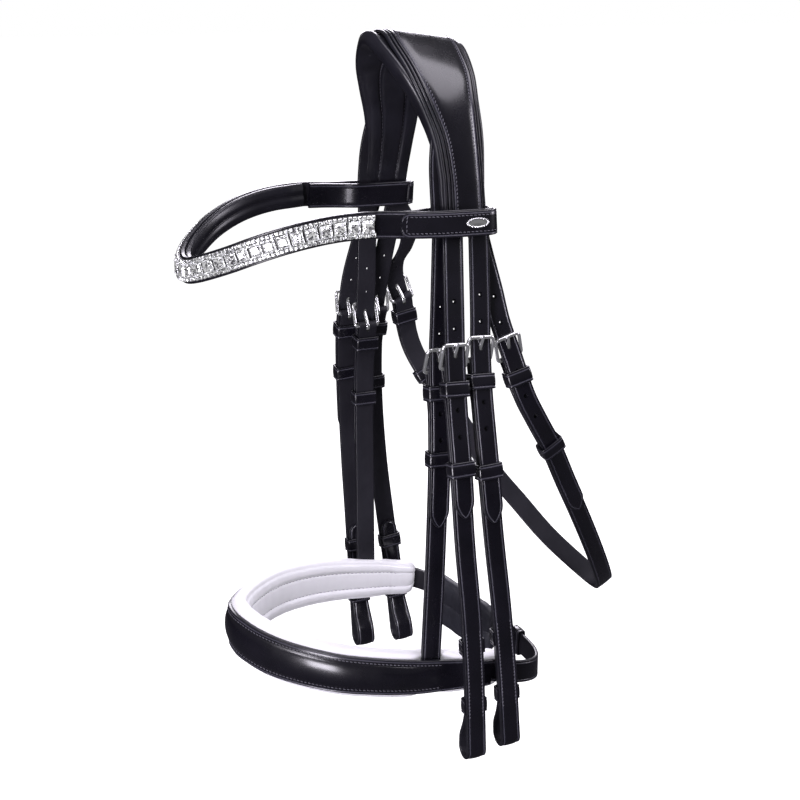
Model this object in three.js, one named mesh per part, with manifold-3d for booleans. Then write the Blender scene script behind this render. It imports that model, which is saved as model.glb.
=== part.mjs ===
// A padded headstall: crown, browband, two cheekpieces on each side, noseband and throatlash.
// Millimetres. +Z up, +X towards the horse's near (left) side, -Y forward towards the nose.
// The origin is the middle of the crown padding's underside, where it rests on the poll.
import * as THREE from "three";
import { mergeVertices } from "three/addons/utils/BufferGeometryUtils.js";
import Module from "manifold-3d";

const wasm = await Module();
wasm.setup();

// ---- driving dimensions -------------------------------------------------------------------
const STRAP_WIDTH = 13; // cheekpieces, hangers and throatlash
const BILLET_THICKNESS = 2.2;
const STRAP_THICKNESS = 2.8;
const LAYER_GAP = 0.28; // half of the gap between a billet and the strap behind it
const CHAPE_THICKNESS = 1.4; // skived fold round a buckle's heel bar
const HOLE_RADIUS = 1.5;
const HOLE_PITCH = 16.1;
const FLEX_Z = -101.2; // where the tails below the browband start to swing

const WIRE_RADIUS = 1.1; // buckle wire
const BUCKLE_REACH = 14; // heel bar to front bar, along the strap
const BUCKLE_HALF_WIDTH = 8.1; // middle of a side bar, from the strap's centre line
const BUCKLE_CORNER = 1.5;
const HEEL_DEPTH = -3.15; // heel bar's place across the strap's layers, outward positive
const FRONT_DEPTH = 3.8;
const TONGUE_WIDTH = 2.4;
const TONGUE_THICKNESS = 1.5;
const TONGUE_OVERHANG = 2.2;

const KEEPER_WALL = 1.3;
const KEEPER_LENGTH = 9.5;
const KEEPER_SIDE_GAP = 0.4;

const LOOP_RADIUS = 5.6; // bit loop, centre line of the leather
const LOOP_CLOSES = 26; // above the loop's arc, where its two layers meet
const LOOP_TONGUE = 86; // above the loop's arc, the end of the turned-up layer
const LOOP_TONGUE_WIDTH = 11.6; // the turned-up layer, narrower than the strap
const LOOP_KEEPERS = [31, 71]; // above the loop's arc, middles of the two small keepers

const CROWN_THICKNESS = 3.6;
const PADDING_THICKNESS = 6.6;
const NOSEBAND_HEIGHT = 27;
const NOSEBAND_TAIL = 16.5;
const NOSEBAND_LEATHER = 3.6;
const STONE_PITCH = 8.2;

// ---- materials ----------------------------------------------------------------------------
const finish = (color, roughness, metalness = 0) => ({ color, roughness, metalness });
const BLACK_LEATHER = finish(0x17161b, 0.35);
const SOFT_LEATHER = finish(0x1d1c20, 0.6);
const STEEL = finish(0xd9d9dc, 0.18, 1);
const WHITE_PADDING = finish(0xf2f1f0, 0.7);
const GREY_PADDING = finish(0x4c4b50, 0.7);
const CLEAR_STONE = finish(0xe9edf2, 0.05);

const bridle = new THREE.Group();

function addPart(name, shape, material) {
  const geometry = shape instanceof wasm.Manifold ? toGeometry(shape) : shape;
  const mesh = new THREE.Mesh(geometry, new THREE.MeshStandardMaterial(material));
  mesh.name = name;
  bridle.add(mesh);
}

// ---- solids and booleans ------------------------------------------------------------------
const vec = (x, y, z) => new THREE.Vector3(x, y, z);

function bare(geometry) {
  const copy = geometry.clone();
  copy.deleteAttribute("normal");
  copy.deleteAttribute("uv");
  return mergeVertices(copy, 1e-4);
}

function toSolid(geometry) {
  if (geometry instanceof wasm.Manifold) return geometry;
  const merged = bare(geometry);
  const vertProperties = new Float32Array(merged.attributes.position.array);
  const triVerts = new Uint32Array(merged.index.array);
  return new wasm.Manifold(new wasm.Mesh({ numProp: 3, vertProperties, triVerts }));
}

function toGeometry(solid) {
  const mesh = solid.getMesh();
  const geometry = new THREE.BufferGeometry();
  geometry.setAttribute("position", new THREE.BufferAttribute(mesh.vertProperties, 3));
  geometry.setIndex(new THREE.BufferAttribute(mesh.triVerts, 1));
  return geometry;
}

function cut(geometry, tools) {
  let solid = toSolid(geometry);
  for (const tool of tools) solid = solid.subtract(toSolid(tool));
  return solid;
}

function join(pieces) {
  return pieces.map(toSolid).reduce((whole, piece) => whole.add(piece));
}

// ---- a line that straps follow --------------------------------------------------------------
// Along it, "across" is the strap's width direction and "out" points away from the horse.
class Line {
  constructor(points, hint) {
    this.curve = new THREE.CatmullRomCurve3(points.map((p) => vec(...p)), false, "centripetal");
    this.curve.arcLengthDivisions = 800;
    this.length = this.curve.getLength();
    this.hint = hint;
  }

  frame(s) {
    const u = THREE.MathUtils.clamp(s / this.length, 0, 1);
    const point = this.curve.getPointAt(u);
    const along = this.curve.getTangentAt(u);
    point.addScaledVector(along, s - u * this.length);
    const across = this.hint.clone().addScaledVector(along, -along.dot(this.hint)).normalize();
    return { point, along, across, out: along.clone().cross(across) };
  }

  // A point at arc length s, moved outward by depth.
  at(s, depth = 0) {
    const { point, out } = this.frame(s);
    return point.addScaledVector(out, depth);
  }

  // The arc length where the line first passes the given value of one coordinate.
  find(axis, value) {
    const steps = 2000;
    const start = Math.sign(this.at(0)[axis] - value);
    for (let i = 1; i <= steps; i += 1) {
      const s = (i / steps) * this.length;
      if (Math.sign(this.at(s)[axis] - value) !== start) return s;
    }
    throw new Error(`the line never reaches ${axis} = ${value}`);
  }

  // Puts a geometry made with X across, Y out and Z along at arc length s.
  place(geometry, s) {
    const { point, along, across, out } = this.frame(s);
    const matrix = new THREE.Matrix4().makeBasis(across, out, along).setPosition(point);
    return geometry.applyMatrix4(matrix);
  }
}

// The frame at a corner of a chain of points. Layers stay parallel when depths are stretched.
function cornerFrame(points, i, hint) {
  const here = points[i];
  const arriving = here.clone().sub(points[i - 1] ?? here).normalize();
  const leaving = (points[i + 1] ?? here).clone().sub(here).normalize();
  const along = arriving.clone().add(leaving).normalize();
  const across = hint.clone().addScaledVector(along, -along.dot(hint)).normalize();
  const longer = arriving.lengthSq() > 0 ? arriving : leaving;
  return { across, out: along.clone().cross(across), stretch: 1 / along.dot(longer) };
}

// A strap of rectangular section through a list of stations: point, hint, width, thickness.
function sweep(stations) {
  const last = stations.length - 1;
  const geometry = bare(new THREE.BoxGeometry(1, 1, 1, 1, 1, last));
  const position = geometry.attributes.position;
  const points = stations.map((station) => station.point);
  const frames = stations.map((station, i) => cornerFrame(points, i, station.hint));
  for (let i = 0; i < position.count; i += 1) {
    const k = Math.round((position.getZ(i) + 0.5) * last);
    const { point, width, thickness } = stations[k];
    const vertex = point.clone();
    vertex.addScaledVector(frames[k].across, position.getX(i) * width);
    vertex.addScaledVector(frames[k].out, position.getY(i) * thickness * frames[k].stretch);
    position.setXYZ(i, vertex.x, vertex.y, vertex.z);
  }
  return geometry;
}

function spaced(from, to, step) {
  const count = Math.max(1, Math.round(Math.abs(to - from) / step));
  return Array.from({ length: count + 1 }, (_, i) => from + ((to - from) * i) / count);
}

// Widths near a strap's end: "point" is a blunt point, "round" a half circle.
function tipWidth(kind, distance, width) {
  const reach = kind === "point" ? width * 0.9 : width * 0.5;
  const t = THREE.MathUtils.clamp(distance / reach, 0, 1);
  if (kind === "point") return width * (0.24 + 0.76 * Math.sin((t * Math.PI) / 2));
  return width * Math.max(0.35, Math.sqrt(1 - (1 - t) ** 2));
}

// A plain strap along a line, square at the start and with a tip at its end.
function strap(line, from, to, { depth, thickness, width = STRAP_WIDTH, step = 18, tip = null }) {
  const tipSteps = tip ? [0, 0.12, 0.35, 0.9].map((t) => to - t * width) : [to];
  const body = spaced(from, tipSteps[tipSteps.length - 1], step);
  const marks = body.concat(tipSteps.slice(0, -1).reverse());
  const stations = marks.map((s) => ({
    point: line.at(s, depth),
    hint: line.hint,
    width: tip ? tipWidth(tip, to - s, width) : width,
    thickness,
  }));
  return sweep(stations);
}

// A closed or open frame of the given outline, extruded along a line with its middle at s.
function collar(line, s, length, outline) {
  const options = { depth: length, bevelEnabled: false, curveSegments: 3 };
  const geometry = new THREE.ExtrudeGeometry(outline, options);
  geometry.translate(0, 0, -length / 2);
  return line.place(geometry, s);
}

// The corners of a rectangle, each cut by two short chords.
function roundedRectangle(x0, y0, x1, y1, radius) {
  const corners = [[x1, y0, 270], [x1, y1, 0], [x0, y1, 90], [x0, y0, 180]];
  return corners.flatMap(([x, y, turn]) => [0, 45, 90].map((swing) => {
    const angle = THREE.MathUtils.degToRad(turn + swing);
    const centreX = x === x1 ? x1 - radius : x0 + radius;
    const centreY = y === y1 ? y1 - radius : y0 + radius;
    const point = new THREE.Vector2(Math.cos(angle), Math.sin(angle));
    return point.multiplyScalar(radius).add(new THREE.Vector2(centreX, centreY));
  }));
}

const flatPoints = (pairs) => pairs.map(([x, y]) => new THREE.Vector2(x, y));

// A keeper closed all round the layers between two depths.
function ringKeeper(line, s, low, high, width = STRAP_WIDTH) {
  const half = width / 2 + KEEPER_SIDE_GAP;
  const w = KEEPER_WALL;
  const outline = new THREE.Shape(roundedRectangle(-half - w, low - w, half + w, high + w, 1.5));
  const hole = flatPoints([[-half, low], [-half, high], [half, high], [half, low]]);
  outline.holes.push(new THREE.Path(hole));
  return collar(line, s, KEEPER_LENGTH, outline);
}

// A keeper sewn to the strap in front of it, open on that side.
function openKeeper(line, s, low, high) {
  const half = LOOP_TONGUE_WIDTH / 2 + KEEPER_SIDE_GAP;
  const w = KEEPER_WALL;
  const side = half + w;
  const foot = low - w;
  const bevel = 1.2;
  const outline = flatPoints([
    [-side, high], [-side, foot + bevel], [-side + bevel, foot], [side - bevel, foot],
    [side, foot + bevel], [side, high], [half, high], [half, low], [-half, low], [-half, high],
  ]);
  return collar(line, s, KEEPER_LENGTH, new THREE.Shape(outline));
}

// ---- buckles --------------------------------------------------------------------------------
// Within a buckle, "up" runs back along the line from the heel bar, and "depth" is outward.
const FRAME_LENGTH = Math.hypot(BUCKLE_REACH, FRONT_DEPTH - HEEL_DEPTH);
const FRAME_UP = BUCKLE_REACH / FRAME_LENGTH;
const FRAME_OUT = (FRONT_DEPTH - HEEL_DEPTH) / FRAME_LENGTH;
const WRAP_RADIUS = WIRE_RADIUS + 0.45 + CHAPE_THICKNESS / 2;
const RING_RADIUS = WIRE_RADIUS + 0.4 + TONGUE_THICKNESS / 2;

// A point given by its place across the strap, up the frame and out of the frame's plane.
function inFrame({ point, along, across, out }, x, e, f) {
  const up = e * FRAME_UP - f * FRAME_OUT;
  const depth = HEEL_DEPTH + e * FRAME_OUT + f * FRAME_UP;
  const place = point.clone().addScaledVector(across, x);
  return place.addScaledVector(along, -up).addScaledVector(out, depth);
}

function buckleFrame(line, heel, halfWidth = BUCKLE_HALF_WIDTH) {
  const corners = [
    [halfWidth, 0, -90],
    [halfWidth, FRAME_LENGTH, 0],
    [-halfWidth, FRAME_LENGTH, 90],
    [-halfWidth, 0, 180],
  ];
  const loop = [];
  for (const [x, e, turn] of corners) {
    const centreX = x - Math.sign(x) * BUCKLE_CORNER;
    const centreE = e + (e > 0 ? -BUCKLE_CORNER : BUCKLE_CORNER);
    for (const swing of [0, 45, 90]) {
      const angle = THREE.MathUtils.degToRad(turn + swing);
      const away = [Math.cos(angle), Math.sin(angle)];
      const at = [centreX + away[0] * BUCKLE_CORNER, centreE + away[1] * BUCKLE_CORNER];
      loop.push({ at, away });
    }
  }
  const sides = 5;
  const torus = bare(new THREE.TorusGeometry(10, WIRE_RADIUS, sides, loop.length));
  const position = torus.attributes.position;
  const frame = line.frame(heel);
  for (let i = 0; i < position.count; i += 1) {
    const x = position.getX(i);
    const y = position.getY(i);
    const turn = Math.round((Math.atan2(y, x) / (2 * Math.PI)) * loop.length);
    const { at, away } = loop[(turn + loop.length) % loop.length];
    const radial = Math.hypot(x, y) - 10;
    const place = inFrame(frame, at[0] + away[0] * radial, at[1] + away[1] * radial, position.getZ(i));
    position.setXYZ(i, place.x, place.y, place.z);
  }
  return facingOut(torus);
}

// Turns every triangle over if the closed surface is inside out.
function facingOut(geometry) {
  const position = geometry.attributes.position;
  const index = geometry.index;
  const corner = (i) => new THREE.Vector3().fromBufferAttribute(position, index.getX(i));
  let volume = 0;
  for (let i = 0; i < index.count; i += 3) {
    volume += corner(i).dot(corner(i + 1).cross(corner(i + 2)));
  }
  if (volume > 0) return geometry;
  for (let i = 0; i < index.count; i += 3) {
    const first = index.getX(i);
    index.setX(i, index.getX(i + 1));
    index.setX(i + 1, first);
  }
  return geometry;
}

function buckleTongue(line, heel) {
  const frame = line.frame(heel);
  const restRadius = WIRE_RADIUS + 0.25 + TONGUE_THICKNESS / 2;
  const lean = Math.asin((RING_RADIUS + restRadius) / FRAME_LENGTH);
  const leaves = 1.5 * Math.PI + lean;
  const path = [];
  for (const angle of spaced(THREE.MathUtils.degToRad(60), leaves, 0.62)) {
    path.push([RING_RADIUS * Math.cos(angle), RING_RADIUS * Math.sin(angle)]);
  }
  const [e0, f0] = path[path.length - 1];
  const reach = (FRAME_LENGTH + TONGUE_OVERHANG) / Math.cos(lean) - e0;
  for (const t of [0.5, 0.88, 1]) {
    const drop = t === 1 ? 0.35 : 0;
    path.push([
      e0 + t * reach * Math.cos(lean),
      f0 + t * reach * Math.sin(lean) - drop,
    ]);
  }
  const stations = path.map(([e, f], i) => ({
    point: inFrame(frame, 0, e, f),
    hint: frame.across,
    width: i === path.length - 1 ? TONGUE_WIDTH * 0.7 : TONGUE_WIDTH,
    thickness: TONGUE_THICKNESS * (i === path.length - 1 ? 0.7 : 1),
  }));
  return sweep(stations);
}

// The strap's folded end: down the outer leg's length, up, over the heel bar and down inside.
const CHAPE_LEG = 14.5;
const INNER_LEG = [
  [-4, -4.6, 1.8],
  [-8, -3.7, 2.4],
  [-12, -3.3, 2.6],
  [-15, -3.3, 2.6],
  [-24, -1.7, STRAP_THICKNESS],
];
const STRAP_DEPTH = -1.7;

function chape(line, heel, width = STRAP_WIDTH) {
  const frame = line.frame(heel);
  const near = (up, depth) => {
    const place = frame.point.clone().addScaledVector(frame.along, -up);
    return place.addScaledVector(frame.out, depth);
  };
  const stations = [];
  const hint = frame.across;
  const add = (point, thickness) => stations.push({ point, hint, width, thickness });
  const outerDepth = HEEL_DEPTH + WRAP_RADIUS;
  add(line.at(heel + CHAPE_LEG, outerDepth), CHAPE_THICKNESS);
  add(line.at(heel + CHAPE_LEG / 2, outerDepth), CHAPE_THICKNESS);
  for (const degrees of [90, 54, 18, -18, -54, -90]) {
    const angle = THREE.MathUtils.degToRad(degrees);
    const up = WRAP_RADIUS * Math.cos(angle);
    add(near(up, HEEL_DEPTH + WRAP_RADIUS * Math.sin(angle)), CHAPE_THICKNESS);
  }
  for (const [up, depth, thickness] of INNER_LEG) add(line.at(heel - up, depth), thickness);
  return stations;
}

// A box across the strap, out of it and along it, with its middle at the given depth.
function boxTool(line, s, size, depth) {
  const box = new THREE.BoxGeometry(size[0], size[1], size[2]);
  box.translate(0, depth, 0);
  return line.place(box, s);
}

const chapeSlot = (line, heel) => boxTool(line, heel - 0.25, [4, 6.6, 8.5], -3.2);

function holeTool(line, s, depth, length) {
  const hole = new THREE.CylinderGeometry(HOLE_RADIUS, HOLE_RADIUS, length, 6);
  hole.translate(0, depth, 0);
  return line.place(hole, s);
}

// A pointed billet with its holes, and the oval slot that the tongue stands in.
const TONGUE_SLOT = 7.4; // above the heel bar, the slot's middle

function billet(line, heel, tip, { from = 0, width = STRAP_WIDTH } = {}) {
  const depth = LAYER_GAP + BILLET_THICKNESS / 2;
  const options = { depth, thickness: BILLET_THICKNESS, width, tip: "point", step: 14 };
  const solid = strap(line, from, tip, options);
  const slot = heel - TONGUE_SLOT;
  const tools = [boxTool(line, slot, [3.2, 6, 7.4], depth)];
  for (let k = -2; k <= 3; k += 1) {
    const s = slot + k * HOLE_PITCH;
    const inside = s > from + 8 && s < tip - 10;
    if (k !== 0 && inside) tools.push(holeTool(line, s, depth, 6));
  }
  return cut(solid, tools);
}

// Keepers just below a buckle, behind the whole fold or sewn through it, and a sliding one.
const KEEPER_DROP = 12.4; // heel bar to the middle of the first keeper
const KEEPER_TOP = 2.9; // inner face of a keeper's outer wall
const fixedKeeper = (line, heel, width) => ringKeeper(line, heel + KEEPER_DROP, -5.6, KEEPER_TOP, width);
const sewnKeeper = (line, heel, width) => ringKeeper(line, heel + KEEPER_DROP, -4.4, KEEPER_TOP, width);
const runningKeeper = (line, s, width) => ringKeeper(line, s, -3.75, 3, width);

const stationsAlong = (line, marks, depth, thickness) =>
  marks.map((s) => ({ point: line.at(s, depth), hint: line.hint, width: STRAP_WIDTH, thickness }));

// ---- the two sides ----------------------------------------------------------------------------
// Outward distances are positive here; the off side is turned over when its lines are made.
const SIDES = {
  near: {
    sign: 1,
    front: {
      points: [
        [64.9, 1.6, FLEX_Z], [78.2, -2.9, -147], [81.6, -3.9, -163], [85, -4.6, -179],
        [88.4, -5.1, -195], [95.4, -4.4, -236], [99.2, -2.2, -285], [100.8, 1.2, -325],
        [101, 4.2, -370], [101, 6.2, -421], [101, 6.6, -430],
      ],
      heel: -175.5, runner: -235, tip: -265,
    },
    rear: {
      points: [
        [64.9, 18.6, FLEX_Z], [74, 16.1, -147], [77.5, 14.8, -163], [81, 14.1, -179],
        [84.4, 13.8, -195], [91.2, 15.4, -236], [95, 19.2, -285], [96.6, 23.6, -325],
        [96.6, 28.4, -370], [96.6, 32.2, -419], [96.6, 33, -428],
      ],
      heel: -173.5, runner: -239.5, tip: -272,
    },
    hanger: {
      points: [
        [60.2, -3, FLEX_Z], [65.6, -6.4, -150], [67.9, -7.9, -166], [70.2, -8.8, -182],
        [72.5, -9.2, -198], [75.6, -10, -236], [75.6, -12, -310], [75, -14, -362],
      ],
      heel: -181, runner: -233.5, tip: -277,
    },
    throat: { heel: -175.5, runner: -237.5, tip: -288 },
  },
  off: {
    sign: -1,
    front: {
      points: [
        [64.9, 0.8, FLEX_Z], [78.2, -7.4, -147], [81.6, -8.9, -163], [85, -9.8, -179],
        [88.4, -9.6, -195], [95.4, -6.6, -236], [99.2, -3.4, -285], [100.8, -0.6, -325],
        [101, 1.8, -370], [101, 4.4, -421], [101, 4.8, -430],
      ],
      heel: -175, runner: -219, tip: -265,
    },
    rear: {
      points: [
        [64.9, 18, FLEX_Z], [74, 11.8, -147], [77.5, 10.4, -163], [81, 9.4, -179],
        [84.4, 9.1, -195], [90.2, 11.2, -236], [94, 16, -285], [95.6, 21.4, -325],
        [95.6, 27.4, -370], [95.6, 32.6, -419], [95.6, 33.4, -428],
      ],
      heel: -174, runner: -227, tip: -270,
    },
    hanger: {
      points: [
        [60.2, -3, FLEX_Z], [64.6, -2.4, -150], [66.8, -2.3, -166], [69, -2.2, -182],
        [71.2, -2, -198], [75.6, -1.4, -236], [75.6, -1.2, -310], [75, -1.2, -354],
      ],
      heel: -181, runner: -234, tip: -275,
    },
    throat: { heel: -169.3, runner: -223, tip: -280 },
  },
};

const ACROSS = vec(0, 1, 0);

function sideLine(points, sign) {
  const placed = points.map(([x, y, z]) => [x * sign, y, z]);
  return new Line(placed, ACROSS.clone().multiplyScalar(sign));
}

// ---- cheekpieces with bit loops -----------------------------------------------------------------
const LOOP_LAYER_GAP = 0.35; // between the strap and its turned-up end

function loopStations(line, arc) {
  const frame = line.frame(arc);
  const centre = STRAP_DEPTH - LOOP_RADIUS;
  const stations = [];
  const add = (point) =>
    stations.push({ point, hint: line.hint, width: STRAP_WIDTH, thickness: STRAP_THICKNESS });
  for (const degrees of [0, 36, 72, 108, 144, 180]) {
    const angle = THREE.MathUtils.degToRad(degrees);
    const place = frame.point.clone().addScaledVector(frame.along, LOOP_RADIUS * Math.sin(angle));
    add(place.addScaledVector(frame.out, centre + LOOP_RADIUS * Math.cos(angle)));
  }
  const inner = STRAP_DEPTH - STRAP_THICKNESS - LOOP_LAYER_GAP;
  const rise = [
    [8, centre - LOOP_RADIUS + 0.9],
    [17, inner - 2.2],
    [LOOP_CLOSES, inner],
  ];
  for (const [up, depth] of rise) add(line.at(arc - up, depth));
  const turned = stations.length;
  for (const up of spaced(LOOP_CLOSES + 1, LOOP_TONGUE - 7, 14)) add(line.at(arc - up, inner));
  for (const short of [4, 1.6, 0]) add(line.at(arc - LOOP_TONGUE + short, inner));
  const shape = (up) => tipWidth("round", LOOP_TONGUE - up, LOOP_TONGUE_WIDTH);
  const reached = (station) => frame.point.distanceTo(station.point);
  return stations.map((station, i) => {
    const width = i < turned ? STRAP_WIDTH : shape(reached(station));
    return { ...station, width };
  });
}

function addCheekpiece(side, place) {
  const { points, heel, runner, tip } = SIDES[side][place];
  const line = sideLine(points, SIDES[side].sign);
  const name = `${side}_${place}_cheek`;
  const heelAt = line.find("z", heel);
  const arc = line.find("z", points[points.length - 2][2]);
  const body = stationsAlong(line, spaced(heelAt + 38, arc - 10, 26), STRAP_DEPTH, STRAP_THICKNESS);
  const cheek = sweep([...chape(line, heelAt), ...body, ...loopStations(line, arc)]);
  const small = LOOP_KEEPERS.map((up) => openKeeper(line, arc - up, -6.75, -2.9)); // into the strap
  const slotted = cut(cheek, [chapeSlot(line, heelAt)]);
  addPart(`${name}_billet`, billet(line, heelAt, line.find("z", tip)), BLACK_LEATHER);
  addPart(`${name}_strap`, join([slotted, ...small]), BLACK_LEATHER);
  addPart(`${name}_buckle`, buckleFrame(line, heelAt), STEEL);
  addPart(`${name}_tongue`, buckleTongue(line, heelAt), STEEL);
  addPart(`${name}_keeper`, fixedKeeper(line, heelAt), BLACK_LEATHER);
  addPart(`${name}_runner`, runningKeeper(line, line.find("z", runner)), BLACK_LEATHER);
}

function addHanger(side) {
  const { points, heel, runner, tip } = SIDES[side].hanger;
  const line = sideLine(points, SIDES[side].sign);
  const name = `${side}_hanger`;
  const heelAt = line.find("z", heel);
  const end = line.length;
  const body = stationsAlong(line, spaced(heelAt + 40, end, 24), STRAP_DEPTH, STRAP_THICKNESS);
  const strapSolid = sweep([...chape(line, heelAt), ...body]);
  addPart(`${name}_billet`, billet(line, heelAt, line.find("z", tip)), BLACK_LEATHER);
  addPart(`${name}_strap`, cut(strapSolid, [chapeSlot(line, heelAt)]), BLACK_LEATHER);
  addPart(`${name}_buckle`, buckleFrame(line, heelAt), STEEL);
  addPart(`${name}_tongue`, buckleTongue(line, heelAt), STEEL);
  addPart(`${name}_keeper`, fixedKeeper(line, heelAt), BLACK_LEATHER);
  addPart(`${name}_runner`, runningKeeper(line, line.find("z", runner)), BLACK_LEATHER);
}

for (const side of ["near", "off"]) {
  addCheekpiece(side, "front");
  addCheekpiece(side, "rear");
  addHanger(side);
}

// ---- throatlash -----------------------------------------------------------------------------------
const THROAT_HINT = vec(0, 0.85, 0.5);
const THROAT_POINTS = [
  [60, 21, -101.8], [61.6, 24.4, -116], [65.4, 28.2, -134], [70, 31.4, -153],
  [73.6, 38.6, -175.5], [77, 46.2, -199.4], [74.2, 56, -216], [67.8, 70, -237],
  [58, 87, -266], [47, 104.4, -294], [33, 124, -326], [18, 141, -354], [6, 149.4, -367.6],
  [-6, 148.6, -367.2], [-17, 137.6, -356], [-30, 121, -338], [-42, 105, -316],
  [-54, 86, -290], [-69.4, 64.4, -250], [-81.6, 47.8, -222], [-87, 38.8, -202],
  [-87, 31.2, -168.5], [-87, 27.8, -154.6], [-84, 27.2, -146], [-75, 29.8, -134.6],
  [-65, 29.2, -122], [-61, 25.8, -112], [-60, 20.6, -103.4],
];

const throatNear = new Line(THROAT_POINTS, THROAT_HINT);
const throatOff = new Line([...THROAT_POINTS].reverse(), THROAT_HINT.clone().negate());

function addThroatlash() {
  const ends = { near: throatNear, off: throatOff };
  const heels = {};
  for (const [side, line] of Object.entries(ends)) {
    const { heel, runner, tip } = SIDES[side].throat;
    heels[side] = line.find("z", heel);
    addPart(`${side}_throat_billet`, billet(line, heels[side], line.find("z", tip)), BLACK_LEATHER);
    addPart(`${side}_throat_tongue`, buckleTongue(line, heels[side]), STEEL);
    addPart(`${side}_throat_buckle`, buckleFrame(line, heels[side]), STEEL);
    addPart(`${side}_throat_runner`, runningKeeper(line, line.find("z", runner)), BLACK_LEATHER);
  }
  const offHeel = throatNear.length - heels.off;
  const marks = spaced(heels.near + 34, offHeel - 34, 13);
  const middle = stationsAlong(throatNear, marks, STRAP_DEPTH, STRAP_THICKNESS);
  const turned = chape(throatOff, heels.off).reverse();
  const offEnd = turned.map((station) => ({ ...station, hint: station.hint.clone().negate() }));
  const strapSolid = sweep([...chape(throatNear, heels.near), ...middle, ...offEnd]);
  const slots = [chapeSlot(throatNear, heels.near), chapeSlot(throatOff, heels.off)];
  const keepers = Object.entries(ends).map(([side, line]) => sewnKeeper(line, heels[side]));
  addPart("throatlash_strap", join([cut(strapSolid, slots), ...keepers]), BLACK_LEATHER);
}

addThroatlash();

// ---- crown ------------------------------------------------------------------------------------------
// Each row: outward distance, height, then centre and width of the leather and of the padding in Y.
const CROWN_TILT = 0.13; // the crown leans back, higher in front
const SLIPHEAD_THICKNESS = 2.2;
const CROWN_GAP = 0.85; // the layers twist slightly as they bend over the poll
const SLIPHEAD_DEPTH = CROWN_THICKNESS / 2 + CROWN_GAP + SLIPHEAD_THICKNESS / 2;
const PADDING_FACE = SLIPHEAD_DEPTH + SLIPHEAD_THICKNESS / 2 + 1.5 * CROWN_GAP;
const CROWN_PAD_DEPTH = PADDING_FACE + PADDING_THICKNESS / 2;
const CROWN_TOP = (CROWN_PAD_DEPTH + PADDING_THICKNESS / 2) * Math.hypot(1, CROWN_TILT);
const CROWN_ROWS = [
  { x: 66, z: -99, leather: [10, 29], padding: null },
  { x: 64.2, z: -83, leather: [10, 28.6], padding: null },
  { x: 62.8, z: -74, leather: [10, 28.4], padding: [13, 24] },
  { x: 60.6, z: -62, leather: [9.8, 28.6], padding: [13.2, 25.6] },
  { x: 56, z: -42, leather: [8.6, 31], padding: [12.1, 30.8] },
  { x: 48.6, z: -22, leather: [6, 38], padding: [8.4, 39.4] },
  { x: 37, z: -6, leather: [5, 45], padding: [5.9, 50.4] },
  { x: 21, z: 6, leather: [4.6, 49.4], padding: [4.8, 58.4] },
  { x: 7, z: CROWN_TOP, leather: [4.6, 50.6], padding: [3.8, 62.4] },
];

function crownStations(rows, depth, pick, thickness) {
  const full = [...rows, ...rows.map((row) => ({ ...row, x: -row.x })).reverse()];
  const hint = vec(0, -1, CROWN_TILT);
  const spine = full.map((row) => vec(row.x, 0, row.z));
  return full.map((row, i) => {
    const { across, out, stretch } = cornerFrame(spine, i, hint);
    const [centre, width] = pick(row);
    const point = spine[i].clone().addScaledVector(across, -centre);
    point.addScaledVector(out, depth * stretch);
    return { point, hint, width, thickness };
  });
}

// The sliphead strap lies in the middle over the poll and further forward below.
const SLIPHEAD_FORWARD = -3.5;
const slipRow = ({ x }) => [Math.abs(x) > 60 ? SLIPHEAD_FORWARD : 0, STRAP_WIDTH];

const crownLeather = crownStations(CROWN_ROWS, 0, (row) => row.leather, CROWN_THICKNESS);
const sliphead = crownStations(CROWN_ROWS, -SLIPHEAD_DEPTH, slipRow, SLIPHEAD_THICKNESS);
const paddedRows = CROWN_ROWS.filter((row) => row.padding);
const crownPadding = crownStations(paddedRows, -CROWN_PAD_DEPTH, (row) => row.padding, PADDING_THICKNESS);

addPart("crown_leather", sweep(crownLeather), BLACK_LEATHER);
addPart("crown_sliphead", sweep(sliphead), SOFT_LEATHER);
addPart("crown_padding", sweep(crownPadding), SOFT_LEATHER);

// ---- browband -----------------------------------------------------------------------------------------
const BROWBAND_HEIGHT = 16;
const BROWBAND_LEATHER = 2.6;
// From the end of the turned-back layer, round the headpiece and forward to the middle.
const BROWBAND_POINTS = [
  [63.2, -43, -90.6], [63.8, -33, -91], [61.6, -21, -91.4], [57.4, -12, -91.4], [56.7, -4, -91.3],
  [56.7, 10, -91.3], [56.9, 22.6, -91.3], [59, 25.8, -91.3], [64, 26.6, -91.3], [69.4, 25.8, -91.3],
  [71.6, 22.6, -91.3], [71.7, 10, -91.3], [71.4, -4, -91.2], [70.4, -16, -91], [68.4, -30, -90.6],
  [66.6, -48, -89.7], [63.6, -70, -91], [60, -87, -94], [54.6, -101, -98], [46.6, -114.6, -103.4],
  [36, -126.4, -109.6], [24, -136, -115], [12, -142, -119], [4, -143.8, -120.4],
];
const mirrored = (points) => points.map(([x, y, z]) => [-x, y, z]).reverse();
const BAND_LEAN = 0.12; // the loops lean with the headpiece

function bandStations(points, depth, height, thickness, skipped = 0) {
  const places = points.map((p) => vec(...p));
  const stations = places.map((place, i) => {
    const lean = place.y > -40 ? BAND_LEAN * Math.sign(place.x) : 0;
    const hint = vec(lean, 0, -1);
    const { out, stretch } = cornerFrame(places, i, hint);
    const point = place.clone().addScaledVector(out, depth * stretch);
    return { point, hint, width: height, thickness };
  });
  return stations.slice(skipped, stations.length - skipped);
}

const browband = [...BROWBAND_POINTS, ...mirrored(BROWBAND_POINTS)];
const LOOP_POINTS = 15; // the stations before the band leaves the headpiece
const forehead = browband.slice(LOOP_POINTS, browband.length - LOOP_POINTS);
const foreheadLine = new Line(forehead, vec(0, 0, -1));

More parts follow.
